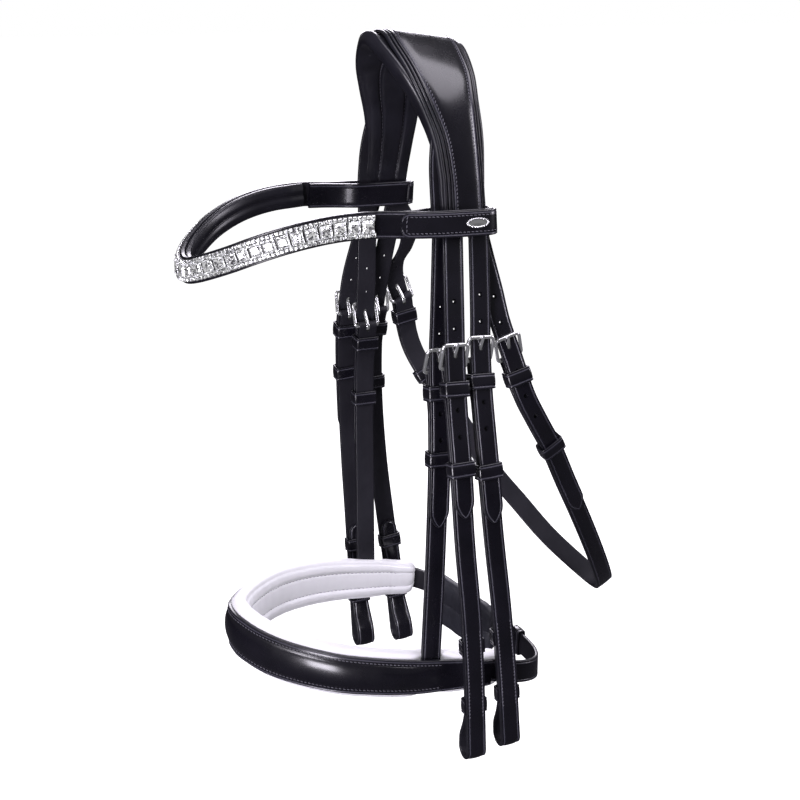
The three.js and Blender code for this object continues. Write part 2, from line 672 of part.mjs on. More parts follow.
const LINING_DEPTH = -3.5;
const LINING_THICKNESS = 2.4;
const LINING_HEIGHT = BROWBAND_HEIGHT - 1;
const lining = bandStations(browband, LINING_DEPTH, LINING_HEIGHT, LINING_THICKNESS, LOOP_POINTS);
const band = bandStations(browband, 0, BROWBAND_HEIGHT, BROWBAND_LEATHER);

addPart("browband_leather", sweep(band), BLACK_LEATHER);
addPart("browband_lining", sweep(lining), SOFT_LEATHER);

// One row of square stones in settings on a metal strip.
const STRIP_THICKNESS = 0.9;
const STONE_SIZE = 7.2;
const STONE_HEIGHT = 2.4;
const STRIP_HEIGHT = 13.5;
const STRIP_LIFT = 0.8; // the strip's underside above the band's face

function addStones() {
  const bottom = BROWBAND_LEATHER / 2 + STRIP_LIFT;
  const middle = bottom + STRIP_THICKNESS / 2;
  const count = Math.floor(foreheadLine.length / STONE_PITCH);
  const start = (foreheadLine.length - (count - 1) * STONE_PITCH) / 2;
  const strip = bandStations(browband, middle, STRIP_HEIGHT, STRIP_THICKNESS, LOOP_POINTS);
  const pieces = [sweep(strip)];
  const corner = STONE_SIZE / Math.SQRT2;
  for (let i = 0; i < count; i += 1) {
    const stone = new THREE.CylinderGeometry(corner, corner, STONE_HEIGHT, 4, 1);
    stone.rotateY(Math.PI / 4);
    stone.translate(0, middle + STONE_HEIGHT / 2, 0);
    pieces.push(foreheadLine.place(stone, start + i * STONE_PITCH));
  }
  addPart("browband_crystals", join(pieces), CLEAR_STONE);
}

addStones();

// A plain oval plate on the near loop.
const BADGE_HALF_HEIGHT = 3.6;
const BADGE_STRETCH = 2.4; // its length over its height
const BADGE_THICKNESS = 1;

function addBadge() {
  const badge = new THREE.CylinderGeometry(BADGE_HALF_HEIGHT, BADGE_HALF_HEIGHT, BADGE_THICKNESS, 12);
  badge.scale(1, 1, BADGE_STRETCH);
  const line = new Line(BROWBAND_POINTS.slice(10, 16), vec(BAND_LEAN, 0, -1));
  badge.translate(0, BROWBAND_LEATHER / 2 + 0.85, 0);
  addPart("browband_badge", line.place(badge, line.find("y", 14)), STEEL);
}

addBadge();

// ---- noseband -------------------------------------------------------------------------------------------
// Outer face, half way up, from the near tail forward to the middle and back on the off side.
const NOSE_POINTS = [
  [79, 26, -375], [79, 18, -374.4], [79, 7, -373], [79, -8, -371.4], [78.6, -23, -370], [76.4, -39, -368.4],
  [72.6, -54, -367], [66, -71, -365.6], [56, -86.4, -364.2], [44, -99.6, -363], [32, -109.6, -361.6],
  [19, -117.4, -359.6], [7, -122.2, -357.4],
];
const NOSE_ROLL = 0.066; // the noseband hangs a little lower on the near side
const NOSE_HEIGHTS = [NOSEBAND_TAIL, 17.4, 19.4, 21, 22.4, 23.4, 24.2, 25, 25.8, 26.4];

const rolled = (points) => points.map(([x, y, z]) => [x, y, z - NOSE_ROLL * x]);
const nosePoints = rolled([...NOSE_POINTS, ...mirrored(NOSE_POINTS)]);

function noseStations(points, depth, heightOf, thickness) {
  const stations = bandStations(points, depth, NOSEBAND_HEIGHT, thickness);
  return stations.map((station, i) => {
    const fromEnd = Math.min(i, stations.length - 1 - i);
    return { ...station, hint: vec(0, 0, -1), width: heightOf(fromEnd) };
  });
}

const PADDING_RISE = 7.6; // the padding is this much taller than the leather
const PADDING_INSET = 7.8; // from the outer face in to the padding
const PADDING_WIDTH = 7;
const PADDING_TAIL = [75.6, 36, -375.6]; // the padding ends further back than the leather
const leatherHeight = (i) => NOSE_HEIGHTS[i] ?? NOSEBAND_HEIGHT;
const paddingHeight = (i) => leatherHeight(i) + PADDING_RISE;
const paddingDepth = -PADDING_INSET - PADDING_WIDTH / 2;
const noseLeather = noseStations(nosePoints, -NOSEBAND_LEATHER / 2, leatherHeight, NOSEBAND_LEATHER);
const paddingLine = [PADDING_TAIL, ...NOSE_POINTS.slice(1)];
const paddingPoints = rolled([...paddingLine, ...mirrored(paddingLine)]);
const nosePadding = noseStations(paddingPoints, paddingDepth, paddingHeight, PADDING_WIDTH);

addPart("noseband_leather", sweep(noseLeather), BLACK_LEATHER);
addPart("noseband_padding", sweep(nosePadding), WHITE_PADDING);

// The rear strap runs from the near tail round the corner and across to the off tail.
const CHIN_WIDTH = 15;
const CHIN_POINTS = rolled([
  [72.4, 12, -374.4], [72.6, 26, -375.4], [73.6, 40, -378.6], [71.6, 53, -381.4], [66, 62.4, -383.4],
  [56, 67.4, -384.4], [40, 69.4, -385], [20, 68, -384.8], [0, 63.6, -383.4], [-20, 58, -382],
  [-40, 52.6, -380.4], [-54, 48.6, -379.4], [-64, 44.6, -378.4], [-71, 38.4, -377.4],
  [-74.4, 29, -375.4], [-74.8, 18, -374.4], [-74.8, 12, -374.4],
]);
const chinLine = new Line(CHIN_POINTS, vec(0, 0, 1));

const CHIN_HEEL_X = -22;
const CHIN_TIP_X = -60;
const CHIN_KEEPER_X = 27;
const CHIN_PAD = { from: 12, to: -58, depth: -9.8, height: 36, thickness: 6 };
const CHIN_PAD_END = { height: 24, thickness: 4 };

function addChinPad(line) {
  const marks = spaced(line.find("x", CHIN_PAD.from), line.find("x", CHIN_PAD.to), 9);
  const stations = marks.map((s, i) => {
    const atEnd = i === 0 || i === marks.length - 1;
    const { height, thickness } = atEnd ? CHIN_PAD_END : CHIN_PAD;
    return { point: line.at(s, CHIN_PAD.depth), hint: line.hint, width: height, thickness };
  });
  addPart("chin_pad", sweep(stations), GREY_PADDING);
}

function addChinStrap(line) {
  const heel = line.find("x", CHIN_HEEL_X);
  const tip = line.find("x", CHIN_TIP_X);
  const marks = spaced(heel + 32, line.length, 9);
  const plainStations = stationsAlong(line, marks, STRAP_DEPTH, STRAP_THICKNESS);
  const body = plainStations.map((station) => ({ ...station, width: CHIN_WIDTH }));
  const slotted = cut(sweep([...chape(line, heel, CHIN_WIDTH), ...body]), [chapeSlot(line, heel)]);
  const halfWidth = BUCKLE_HALF_WIDTH + (CHIN_WIDTH - STRAP_WIDTH) / 2;
  addPart("chin_billet", billet(line, heel, tip, { width: CHIN_WIDTH }), BLACK_LEATHER);
  addPart("chin_strap", join([slotted, sewnKeeper(line, heel, CHIN_WIDTH)]), BLACK_LEATHER);
  addPart("chin_buckle", buckleFrame(line, heel, halfWidth), STEEL);
  addPart("chin_tongue", buckleTongue(line, heel), STEEL);
  const keeperAt = line.find("x", CHIN_KEEPER_X);
  addPart("chin_keeper", ringKeeper(line, keeperAt, -0.4, KEEPER_TOP + 0.1, CHIN_WIDTH), BLACK_LEATHER);
}

addChinStrap(chinLine);
addChinPad(chinLine);

export default bridle;
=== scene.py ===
import math

import bmesh
import bpy
import numpy as np
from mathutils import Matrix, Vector


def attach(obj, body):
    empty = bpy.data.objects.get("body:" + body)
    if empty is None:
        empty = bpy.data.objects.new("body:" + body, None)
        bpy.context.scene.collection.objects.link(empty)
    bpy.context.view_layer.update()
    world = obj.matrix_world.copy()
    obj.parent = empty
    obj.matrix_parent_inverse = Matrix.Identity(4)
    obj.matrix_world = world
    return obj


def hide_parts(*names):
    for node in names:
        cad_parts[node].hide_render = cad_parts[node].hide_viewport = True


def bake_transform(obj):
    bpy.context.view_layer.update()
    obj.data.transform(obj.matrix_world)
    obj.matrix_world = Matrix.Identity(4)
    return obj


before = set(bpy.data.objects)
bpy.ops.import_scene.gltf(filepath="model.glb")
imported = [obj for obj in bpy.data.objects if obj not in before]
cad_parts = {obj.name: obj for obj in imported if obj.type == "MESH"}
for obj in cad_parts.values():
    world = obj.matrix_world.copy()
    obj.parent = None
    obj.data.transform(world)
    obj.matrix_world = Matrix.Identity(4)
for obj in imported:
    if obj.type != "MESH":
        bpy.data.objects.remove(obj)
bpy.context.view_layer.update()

MM = 0.001
rng = np.random.default_rng(7)

# ---- driving dimensions, in millimetres, as in the CAD model
STRAP_WIDTH = 13.0
BILLET_THICKNESS = 2.2
STRAP_THICKNESS = 2.8
LAYER_GAP = 0.28
CHAPE_THICKNESS = 1.4
HOLE_MOUTH = 1.6  # radius of a hole's dished mouth, and of the bore through the rest
HOLE_BORE = 0.55
HOLE_PITCH = 16.1
FLEX_Z = -101.2
WIRE_RADIUS = 1.1
BUCKLE_REACH = 14.0
BUCKLE_HALF_WIDTH = 8.1
HEEL_DEPTH = -3.15
FRONT_DEPTH = 3.8
TONGUE_WIDTH = 2.4
TONGUE_THICKNESS = 1.5
TONGUE_OVERHANG = 2.2
KEEPER_WALL = 1.3
KEEPER_LENGTH = 9.5
KEEPER_SIDE_GAP = 0.4
KEEPER_DROP = 12.4  # heel bar to the middle of the first keeper
FOLD_LOW = -5.6  # a keeper's inner wall, behind the whole fold
SEWN_LOW = -4.4  # the same, sewn through the fold
LOOP_RADIUS = 5.6
LOOP_CLOSES = 26.0
LOOP_TONGUE = 86.0
LOOP_TONGUE_WIDTH = 11.6
LOOP_KEEPERS = (31.0, 71.0)
STRAP_DEPTH = -1.7
TONGUE_SLOT = 7.4
FRAME_LENGTH = math.hypot(BUCKLE_REACH, FRONT_DEPTH - HEEL_DEPTH)
FRAME_UP = BUCKLE_REACH / FRAME_LENGTH
FRAME_OUT = (FRONT_DEPTH - HEEL_DEPTH) / FRAME_LENGTH
WRAP_RADIUS = WIRE_RADIUS + 0.45 + CHAPE_THICKNESS / 2
RING_RADIUS = WIRE_RADIUS + 0.4 + TONGUE_THICKNESS / 2


def unit(v):
    v = np.asarray(v, float)
    return v / np.maximum(np.linalg.norm(v, axis=-1, keepdims=True), 1e-12)


# ---- nodes
class Nodes:
    """Builds a material's or a world's nodes, one by one."""

    def __init__(self, owner, shader="Principled BSDF"):
        owner.use_nodes = True
        self.tree = owner.node_tree
        self.shader = self.tree.nodes[shader]

    def put(self, node, inputs):
        """Sets a node's inputs, or links those whose value is another node's output."""
        for key, value in inputs.items():
            if hasattr(value, "is_linked"):
                self.tree.links.new(value, node.inputs[key])
            else:
                node.inputs[key].default_value = value

    def add(self, kind, inputs=None, **values):
        node = self.tree.nodes.new(kind)
        for key, value in values.items():
            setattr(node, key, value)
        self.put(node, inputs or {})
        return node

    def place(self):
        return self.add("ShaderNodeTexCoord").outputs["Object"]

    def noise(self, scale, detail):
        inputs = {"Vector": self.place(), "Scale": scale, "Detail": detail, "Roughness": 0.55}
        return self.add("ShaderNodeTexNoise", inputs).outputs["Fac"]

    def cells(self, scale, output="Distance"):
        inputs = {"Vector": self.place(), "Scale": scale}
        return self.add("ShaderNodeTexVoronoi", inputs).outputs[output]

    def ramp(self, source, low, high, a, b):
        """Low where the source is a, high where it is b."""
        inputs = {"Value": source, "From Min": a, "From Max": b, "To Min": low, "To Max": high}
        return self.add("ShaderNodeMapRange", inputs).outputs["Result"]

    def mix(self, source, first, second):
        inputs = {0: source, 6: (*first, 1), 7: (*second, 1)}
        return self.add("ShaderNodeMix", inputs, data_type="RGBA").outputs[2]

    def bump(self, source, strength, distance, after=None):
        inputs = {"Height": source, "Strength": strength, "Distance": distance}
        if after is not None:
            inputs["Normal"] = after
        return self.add("ShaderNodeBump", inputs).outputs["Normal"]


# ---- camera, floor and light
WORLD_LIGHT = 0.07  # how bright the surroundings are in reflections; they look white
FLOOR_REFLECTED = (0.05, 0.05, 0.055)
FLOOR_SEEN = (0.5, 0.5, 0.5)
FLOOR_HEIGHT = -0.72
LAMPS = (  # name, place, size, power
    ("key", (0.9, -1.3, 0.7), 0.5, 15),
    ("side", (0.5, 1.7, 0.4), 0.6, 10),
    ("top", (0.3, 0.5, 1.35), 1.3, 22),
    ("rear", (-1.5, 0.5, 0.5), 0.8, 20),
    ("front", (1.05, -1.1, -0.42), 0.5, 15),
)
LAMP_COLOUR = (0.94, 0.9, 1.0)
LAMP_AIM = Vector((0, 0, -0.2))


def pale_floor():
    """White where it is looked at, and dimmer in reflections, as a studio is behind its lamps."""
    pale = bpy.data.materials.new("pale_floor")
    m = Nodes(pale)
    seen = m.add("ShaderNodeLightPath").outputs["Is Camera Ray"]
    m.put(m.shader, {
        "Base Color": m.mix(seen, FLOOR_REFLECTED, FLOOR_SEEN),
        "Roughness": 0.9,
        "Specular IOR Level": 0.1,
        "Emission Color": (1, 1, 1, 1),
        "Emission Strength": seen,
    })
    return pale


def pale_world():
    world = bpy.data.worlds.new("studio")
    w = Nodes(world, "Background")
    seen = w.add("ShaderNodeLightPath").outputs["Is Camera Ray"]
    w.put(w.shader, {"Color": (1, 1, 1, 1), "Strength": w.ramp(seen, WORLD_LIGHT, 1, 0, 1)})
    return world


def aimed(obj, view):
    obj.rotation_euler = view.to_track_quat("-Z", "Y").to_euler()
    bpy.context.collection.objects.link(obj)


def studio():
    scene = bpy.context.scene
    camera = bpy.data.objects.new("camera", bpy.data.cameras.new("camera"))
    camera.data.lens = 72
    camera.data.sensor_width = 36
    camera.data.clip_start = 0.01
    camera.data.clip_end = 60
    camera.location = (0.923, -0.384, 0.062)
    aimed(camera, Vector((-0.891, 0.366, -0.269)))
    scene.camera = camera
    bpy.ops.mesh.primitive_plane_add(size=30, location=(0, 0, FLOOR_HEIGHT))
    floor = bpy.context.object
    floor.name = "floor"
    floor.data.materials.append(pale_floor())
    scene.world = pale_world()
    scene.view_settings.view_transform = "Standard"
    for name, place, size, power in LAMPS:
        lamp = bpy.data.lights.new(name, "AREA")
        lamp.shape = "SQUARE"
        lamp.size = size
        lamp.energy = power
        lamp.color = LAMP_COLOUR
        obj = bpy.data.objects.new(name, lamp)
        obj.location = place
        aimed(obj, LAMP_AIM - Vector(place))


studio()


# ---- materials
def material(name, build):
    made = bpy.data.materials.new(name)
    m = Nodes(made)
    m.put(m.shader, build(m))
    return made


def leather(dark, light, rough, coat, grain, grain_scale=1500, gloss=0.5, painted_light=0.0):
    def build(m):
        coarse = m.bump(m.noise(22, 1), 0.03, 0.0005)
        fine = m.bump(m.cells(grain_scale), grain, 0.00012, coarse)
        return {
            "Base Color": m.mix(m.ramp(m.noise(38, 4), 0, 1, 0.35, 0.7), dark, light),
            "Roughness": m.ramp(m.noise(70, 3), rough - 0.02, rough + 0.05, 0.3, 0.75),
            "Specular IOR Level": gloss,
            "Coat Weight": coat,
            "Coat Roughness": 0.18,
            "Normal": m.bump(m.noise(5200, 2), 0.12, 0.00005, fine),
            # Emission is painted light: a glow that lifts a leather though it is no lamp; only the
            # white padding has it.
            "Emission Color": (0.93, 0.92, 0.97, 1),
            "Emission Strength": painted_light,
        }
    return build


def steel(m):
    return {
        "Metallic": 1.0,
        "Base Color": m.mix(m.noise(300, 2), (0.82, 0.82, 0.84), (0.93, 0.93, 0.94)),
        "Roughness": m.ramp(m.noise(900, 4), 0.1, 0.26, 0.3, 0.7),
        # Painted light: a faint glow stands in for the bright studio that the steel would reflect.
        "Emission Color": (0.9, 0.9, 0.93, 1),
        "Emission Strength": 0.12,
        "Normal": m.bump(m.noise(2600, 3), 0.06, 0.00005),
    }


def stones(m):
    """Foil-backed cut glass: bright, with painted light and shade in small cells for facets that
    catch the light or go dark, and painted glints.
    """
    bright = m.add("ShaderNodeSeparateColor", {"Color": m.cells(1050, "Color")})
    painted_facet_light = m.ramp(bright.outputs["Red"], 0, 1, 0.25, 0.75)
    painted_glint = m.ramp(bright.outputs["Green"], 0, 1, 0.3, 0.75)
    return {
        "Metallic": 0.85,
        # Painted highlight and painted shade: cells of the base colour go light or dark.
        "Base Color": m.mix(painted_facet_light, (0.42, 0.425, 0.44), (0.98, 0.985, 0.99)),
        # Painted glints: random cells glow white, though the stones are no lamp.
        "Emission Color": m.mix(painted_glint, (0, 0, 0), (1, 1, 1)),
        "Emission Strength": 0.5,
        "Roughness": 0.09,
        "Coat Weight": 1.0,
        "Coat Roughness": 0.03,
        "Normal": m.bump(m.cells(1300), 0.5, 0.0003),
    }


def thread(colour):
    return lambda m: {
        "Base Color": m.mix(m.noise(700, 2), tuple(c * 0.75 for c in colour), colour),
        "Roughness": 0.5,
        "Normal": m.bump(m.noise(4200, 2), 0.3, 0.0001),
    }


# Leathers: dark and light colour, roughness, coat, grain, and where needed the grain's scale,
# the gloss and a faint glow, a painted light which lifts the white to its look in full light.
BLACK, EDGE, CREASE_HIGHLIGHT, FLESH, SOFT, WHITE, GREY, SETTING, STEEL, STONE, THREAD, WHITE_THREAD = (
    material(name, build) for name, build in {
        "black_leather": leather(
            (0.005, 0.0047, 0.0076), (0.0085, 0.0078, 0.0125), 0.26, 0.45, 0.04),
        "edge_dressing": leather((0.008, 0.0078, 0.0115), (0.017, 0.0165, 0.023), 0.34, 0.15, 0.04),
        # The crease lines are much lighter than the face: a painted highlight.
        "crease_painted_highlight": leather((0.05, 0.049, 0.066), (0.085, 0.083, 0.105), 0.3, 0.4, 0.02),
        "flesh_side": leather(
            (0.0115, 0.011, 0.016), (0.02, 0.0192, 0.026), 0.56, 0.0, 0.3, 2600, 0.35),
        "soft_leather": leather(
            (0.0085, 0.0082, 0.012), (0.017, 0.0165, 0.024), 0.33, 0.2, 0.14, 1900),
        # The white padding glows faintly: painted light.
        "white_padding_leather": leather(
            (0.83, 0.82, 0.86), (0.9, 0.89, 0.93), 0.5, 0.0, 0.1, 1700, painted_light=0.19),
        "grey_padding_leather": leather(
            (0.02, 0.0205, 0.028), (0.037, 0.038, 0.049), 0.5, 0.03, 0.26, gloss=0.4),
        "stone_backing": leather((0.006, 0.006, 0.007), (0.012, 0.012, 0.014), 0.4, 0.0, 0.1),
        "buckle_steel": steel,
        "clear_stones": stones,
        # The black thread is given a mid grey: a dark thread lifted by a painted highlight, so the
        # stitches read light on the black leather.
        "black_thread": thread((0.15, 0.146, 0.175)),
        "white_thread": thread((0.72, 0.71, 0.72)),
    }.items()
)
# The fourth, on the crease lines, is a painted highlight.
LEATHER_SET = (BLACK, EDGE, FLESH, CREASE_HIGHLIGHT)  # a strap's face, edges, back and crease lines


# ---- lines and paths
def arc_length(points):
    return np.concatenate([[0], np.cumsum(np.linalg.norm(np.diff(points, axis=0), axis=1))])


def between(s, marks, values):
    """Values given at marks, interpolated at s."""
    return np.stack([np.interp(s, marks, np.asarray(values)[:, k]) for k in range(3)], -1)


class Line:
    """A smooth line through points, with a width direction: across, and out away from the horse."""

    def __init__(self, points, hint):
        p = np.array(points, float)
        n = len(p)
        ext = np.vstack([2 * p[0] - p[1], p, 2 * p[-1] - p[-2]])
        samples = []
        for i in range(n - 1):
            q = ext[i : i + 4]
            d = [max(np.linalg.norm(q[k + 1] - q[k]) ** 0.5, 1e-4) for k in range(3)]
            t1 = (q[1] - q[0]) / d[0] - (q[2] - q[0]) / (d[0] + d[1]) + (q[2] - q[1]) / d[1]
            t2 = (q[2] - q[1]) / d[1] - (q[3] - q[1]) / (d[1] + d[2]) + (q[3] - q[2]) / d[2]
            t1, t2 = t1 * d[1], t2 * d[1]
            w = np.linspace(0, 1, 60, endpoint=i == n - 2)[:, None]
            c2 = -3 * q[1] + 3 * q[2] - 2 * t1 - t2
            c3 = 2 * q[1] - 2 * q[2] + t1 + t2
            samples.append(q[1] + t1 * w + c2 * w**2 + c3 * w**3)
        self.p = np.vstack(samples)
        self.s = arc_length(self.p)
        self.t = unit(np.gradient(self.p, self.s, axis=0))
        self.length = self.s[-1]
        self.hint = np.array(hint, float)

    def frame(self, s):
        """Point, along, across and out at s; straight on beyond the ends."""
        s = np.asarray(s, float)
        inside = np.clip(s, 0, self.length)
        along = unit(between(inside, self.s, self.t))
        point = between(inside, self.s, self.p) + along * (s - inside)[..., None]
        across = unit(self.hint - along * (along @ self.hint)[..., None])
        return point, along, across, np.cross(along, across)

    def at(self, s, x=0.0, depth=0.0):
        point, _, across, out = self.frame(s)
        x, depth = (np.broadcast_to(v, np.shape(s))[..., None] for v in (x, depth))
        return point + across * x + out * depth

    def find(self, axis, value):
        """How far along the line first crosses a coordinate's value."""
        k = "xyz".index(axis)
        side = np.sign(self.p[:, k] - value)
        i = int(np.argmax(side != side[0]))
        a, b = self.p[i - 1, k], self.p[i, k]
        return float(self.s[i - 1] + (self.s[i] - self.s[i - 1]) * (value - a) / (b - a))


class Path:
    """A chain of stations, each with its point, along, across and out."""

    def __init__(self, points, across):
        self.p = np.array(points, float)
        d = np.zeros_like(self.p)
        steps = unit(np.diff(self.p, axis=0))
        d[0], d[-1] = steps[0], steps[-1]
        d[1:-1] = unit(steps[:-1] + steps[1:])
        self.along = d
        a = np.array(across, float) * np.ones_like(self.p)
        self.across = unit(a - d * np.sum(a * d, axis=1, keepdims=True))
        self.out = np.cross(self.along, self.across)

    def ring(self, i, section):
        """A section's points at station i, from their places across and out."""
        section = np.asarray(section, float)
        return self.p[i] + section[:, :1] * self.across[i] + section[:, 1:] * self.out[i]

    def spot(self, i, x, depth):
        return self.ring(i, [(x, depth)])[0]


def line_path(line, marks, depth):
    return Path(line.at(marks, depth=depth), line.frame(marks)[2])


def smooth_steps(xs, ys, x, reach):
    """Interpolates, with the corners rounded over a short reach."""
    return sum(np.interp(x + d, xs, ys) for d in np.linspace(-reach, reach, 9)) / 9


def quarter(t):
    """Rises as a quarter circle, from 0 at 0 to 1 at 1 and beyond."""
    return np.sqrt(np.clip(1 - (1 - np.clip(t, 0, 1)) ** 2, 0, 1))


# ---- meshes
def soften(mesh, sharp, outward=False):
    """Smooth faces, with creases where they meet at more than so many degrees."""
    bm = bmesh.new()
    bm.from_mesh(mesh)
    if outward:
        bmesh.ops.recalc_face_normals(bm, faces=bm.faces)
    for face in bm.faces:
        face.smooth = True
    limit = math.radians(sharp)
    for edge in bm.edges:
        edge.smooth = not (edge.is_manifold and edge.calc_face_angle(0) > limit)
    bm.to_mesh(mesh)
    bm.free()


def finish_mesh(name, verts, faces, materials, indices=None, sharp=50):
    mesh = bpy.data.meshes.new(name)
    mesh.from_pydata((np.asarray(verts) * MM).tolist(), [], faces)
    if indices is not None:
        mesh.polygons.foreach_set("material_index", indices)
    for each in materials:
        mesh.materials.append(each)
    soften(mesh, sharp, outward=True)
    obj = bpy.data.objects.new(name, mesh)
    bpy.context.collection.objects.link(obj)
    return obj


def skin(count, around, closed=False):
    """Faces of a tube of so many rings, each with so many points, capped unless it is closed."""
    faces = []
    for i in range(count if closed else count - 1):
        a, b = i * around, (i + 1) % count * around
        for j in range(around):
            k = (j + 1) % around
            faces.append((a + j, a + k, b + k, b + j))
    if not closed:
        last = (count - 1) * around
        faces.append(tuple(range(around)))
        faces.append(tuple(last + j for j in reversed(range(around))))
    return faces


def joined(solids):
    """Many solids' points and faces as one."""
    verts, faces = [], []
    for points, made in solids:
        faces += [tuple(len(verts) + k for k in face) for face in made]
        verts += list(points)
    return verts, faces


def loft(name, rings, materials, sides=None, closed=False, sharp=50):
    """A tube through rings of equal point count; sides gives each profile edge's material."""
    rings = np.asarray(rings, float)
    n, m = rings.shape[:2]
    faces = skin(n, m, closed)
    indices = list(sides or [0] * m) * (n if closed else n - 1)
    indices += [0] * (len(faces) - len(indices))
    return finish_mesh(name, rings.reshape(-1, 3), faces, materials, indices, sharp)


def circle(count, radius):
    w = np.linspace(0, 2 * math.pi, count, endpoint=False)
    return np.stack([np.cos(w) * radius, np.sin(w) * radius], -1)


def settle(obj, body, slot, *nodes):
    """Hides the CAD nodes a piece stands for, and hangs it on its body, or where the body is a tie
    only bakes its place. The slot is not used.
    """
    if nodes:
        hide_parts(*nodes)
    if isinstance(body, str):
        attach(obj, body)
    else:
        a, b, start, end = body
        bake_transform(obj)


def padding(name, rings, material, body, slot, node):
    pad = loft(name, rings, (material,), sharp=60)
    settle(pad, body, slot, node)


CREASE = 1.7  # from a strap's edge in to its crease line
GROOVE = 0.28  # the crease line's depth


def strap_section(half, t, raised=0.0, crease=CREASE, depth=GROOVE, tops=(0.66, 0.33)):
    """Section of a strap: outer face first, from left to right. Returns points and face kinds."""
    r = min(0.62, t * 0.42)
    h = t / 2
    arc = [(math.cos(a), math.sin(a)) for a in np.radians([67.5, 45, 22.5, 0])]
    marks = [(r, 0.0), (crease - 0.42, 0.0), (crease, -depth), (crease + 0.42, 0.02)]
    squeeze = max(0.0, min(1.0, half / (crease + 0.9)))
    outer = []
    for off, y in marks:
        x = max(half - off, 0.03 * (4.5 - off)) if off > r else max(half - r, 0.15)
        outer.append((x, h + y * squeeze))
    inner_half = outer[-1][0]
    top = []
    for f in (*(-f for f in tops), 0.0, *reversed(tops)):
        top.append((inner_half * f, h + 0.02 + raised * squeeze * (1 - abs(f) ** 2.4)))
    edge_x = max(half - r, 0.15)
    rr = min(r, half * 0.8)
    right = outer[::-1] + [(edge_x + rr * c, h - r + r * s) for c, s in arc]
    right += [(edge_x + rr * c, -h + r - r * s) for c, s in reversed(arc)]
    bottom = [(edge_x, -h), (edge_x * 0.4, -h), (-edge_x * 0.4, -h), (-edge_x, -h)]
    flipped = [(-x, y) for x, y in reversed(right)]
    edges = 2 * len(arc)
    points = flipped[edges:] + top + right + bottom + flipped[:edges]
    # Kinds: 0 the face, 1 the edges, 2 the back, 3 the crease lines, which take a painted
    # highlight.
    kinds = [0, 3, 3] + [0] * (len(top) + 1) + [3, 3, 0] + [1] * (edges + 1) + [2] * 3
    kinds += [1] * (len(points) - len(kinds))
    return np.array(points), kinds


def strap_piece(name, path, widths, thick, raised=0.0, crease=CREASE, depth=GROOVE):
    """A strap along a path, with its width and thickness at each station."""
    rings = []
    widths, thick = (np.broadcast_to(v, len(path.p)) for v in (widths, thick))
    for i, (width, t) in enumerate(zip(widths, thick)):
        section, kinds = strap_section(width / 2, t, raised, crease, depth)
        rings.append(path.ring(i, section))
    return loft(name, rings, LEATHER_SET, kinds)


def tip_marks(start, end, step, width):
    """Even steps, then finer ones towards a tip."""
    reach = width * 1.05
    body = np.linspace(start, end - reach, max(2, int((end - reach - start) / step)))
    close = end - reach * (1 - np.linspace(0, 1, 18)[1:]) ** 1.6
    return np.concatenate([body, close])


def pointed(marks, end, width):
    t = np.clip((end - marks) / (width * 0.85), 0, 1)
    return width * (0.14 + 0.86 * np.sin(t * math.pi / 2) ** 0.72)


def rounded(marks, end, width):
    return width * np.maximum(0.12, quarter((end - marks) / (width * 0.5)))


def stitches(name, body, points, along, out, pitch, length, radius, slot="bridle_leather"):
    """One row of slanted stitches along a run of surface points."""
    s = arc_length(points)
    count = max(2, int(s[-1] / pitch))
    marks = (np.arange(count) + 0.5) * s[-1] / count
    p, a, o = (between(marks, s, v) for v in (points, along, out))
    o = unit(o)
    a = unit(a)
    a = unit(a + 0.16 * np.cross(a, o))
    side = np.cross(a, o)
    # How far along the stitch, how thick, and how far sunk into the leather.
    stations = ((-0.5, 0.35, 0.12), (-0.28, 1, 0), (0.28, 1, 0), (0.5, 0.35, 0.12))
    strand = [(math.cos(w), math.sin(w)) for w in np.radians([90, 30, -30, -90, -150, 150])]
    made = []
    for i in range(count):
        verts = []
        for t, scale, sunk in stations:
            centre, r = p[i] + a[i] * length * t, radius * scale
            verts += [centre + side[i] * x * r + o[i] * (y * r - sunk) for x, y in strand]
        made.append((verts, skin(len(stations), len(strand))))
    colour = WHITE_THREAD if slot == "white_padding" else THREAD
    settle(finish_mesh(name, *joined(made), (colour,), sharp=80), body, slot)


def cut_with(obj, cutters):
    """Takes the cutters' solids out of a piece."""
    tool = finish_mesh("tool", *joined(cutters), ())
    cut = obj.modifiers.new("cut", "BOOLEAN")
    cut.operation = "DIFFERENCE"
    cut.solver = "EXACT"
    cut.object = tool
    graph = bpy.context.evaluated_depsgraph_get()
    obj.data = bpy.data.meshes.new_from_object(obj.evaluated_get(graph))
    obj.modifiers.remove(cut)
    bpy.data.objects.remove(tool)
    soften(obj.data, 45)


def prism(place, depth, outline, height):
    """A cutter through a strap: an outline across and along it, centred at a depth."""
    point, along, across, out = place
    verts = [
        point + across * x + along * y + out * (depth + height * end)
        for end in (-0.5, 0.5) for x, y in outline
    ]
    return verts, skin(2, len(outline))


def oval(length, width):
    """A slot's outline, with round ends."""
    w = 2 * math.pi * (np.arange(16) + 0.5) / 16
    x, y = np.cos(w) * width / 2, np.sin(w) * width / 2
    return np.stack([x, y + np.copysign((length - width) / 2, y)], -1)


# ---- buckled straps
RING_STEPS = 26  # stations in a tongue's ring round the heel bar


def in_frame(place, x, e, f):
    """A point beside a buckle: x across, e from the heel bar up the frame, f off its plane."""
    point, along, across, out = place
    up = e * FRAME_UP - f * FRAME_OUT
    depth = HEEL_DEPTH + e * FRAME_OUT + f * FRAME_UP
    return point + across * x - along * up + out * depth


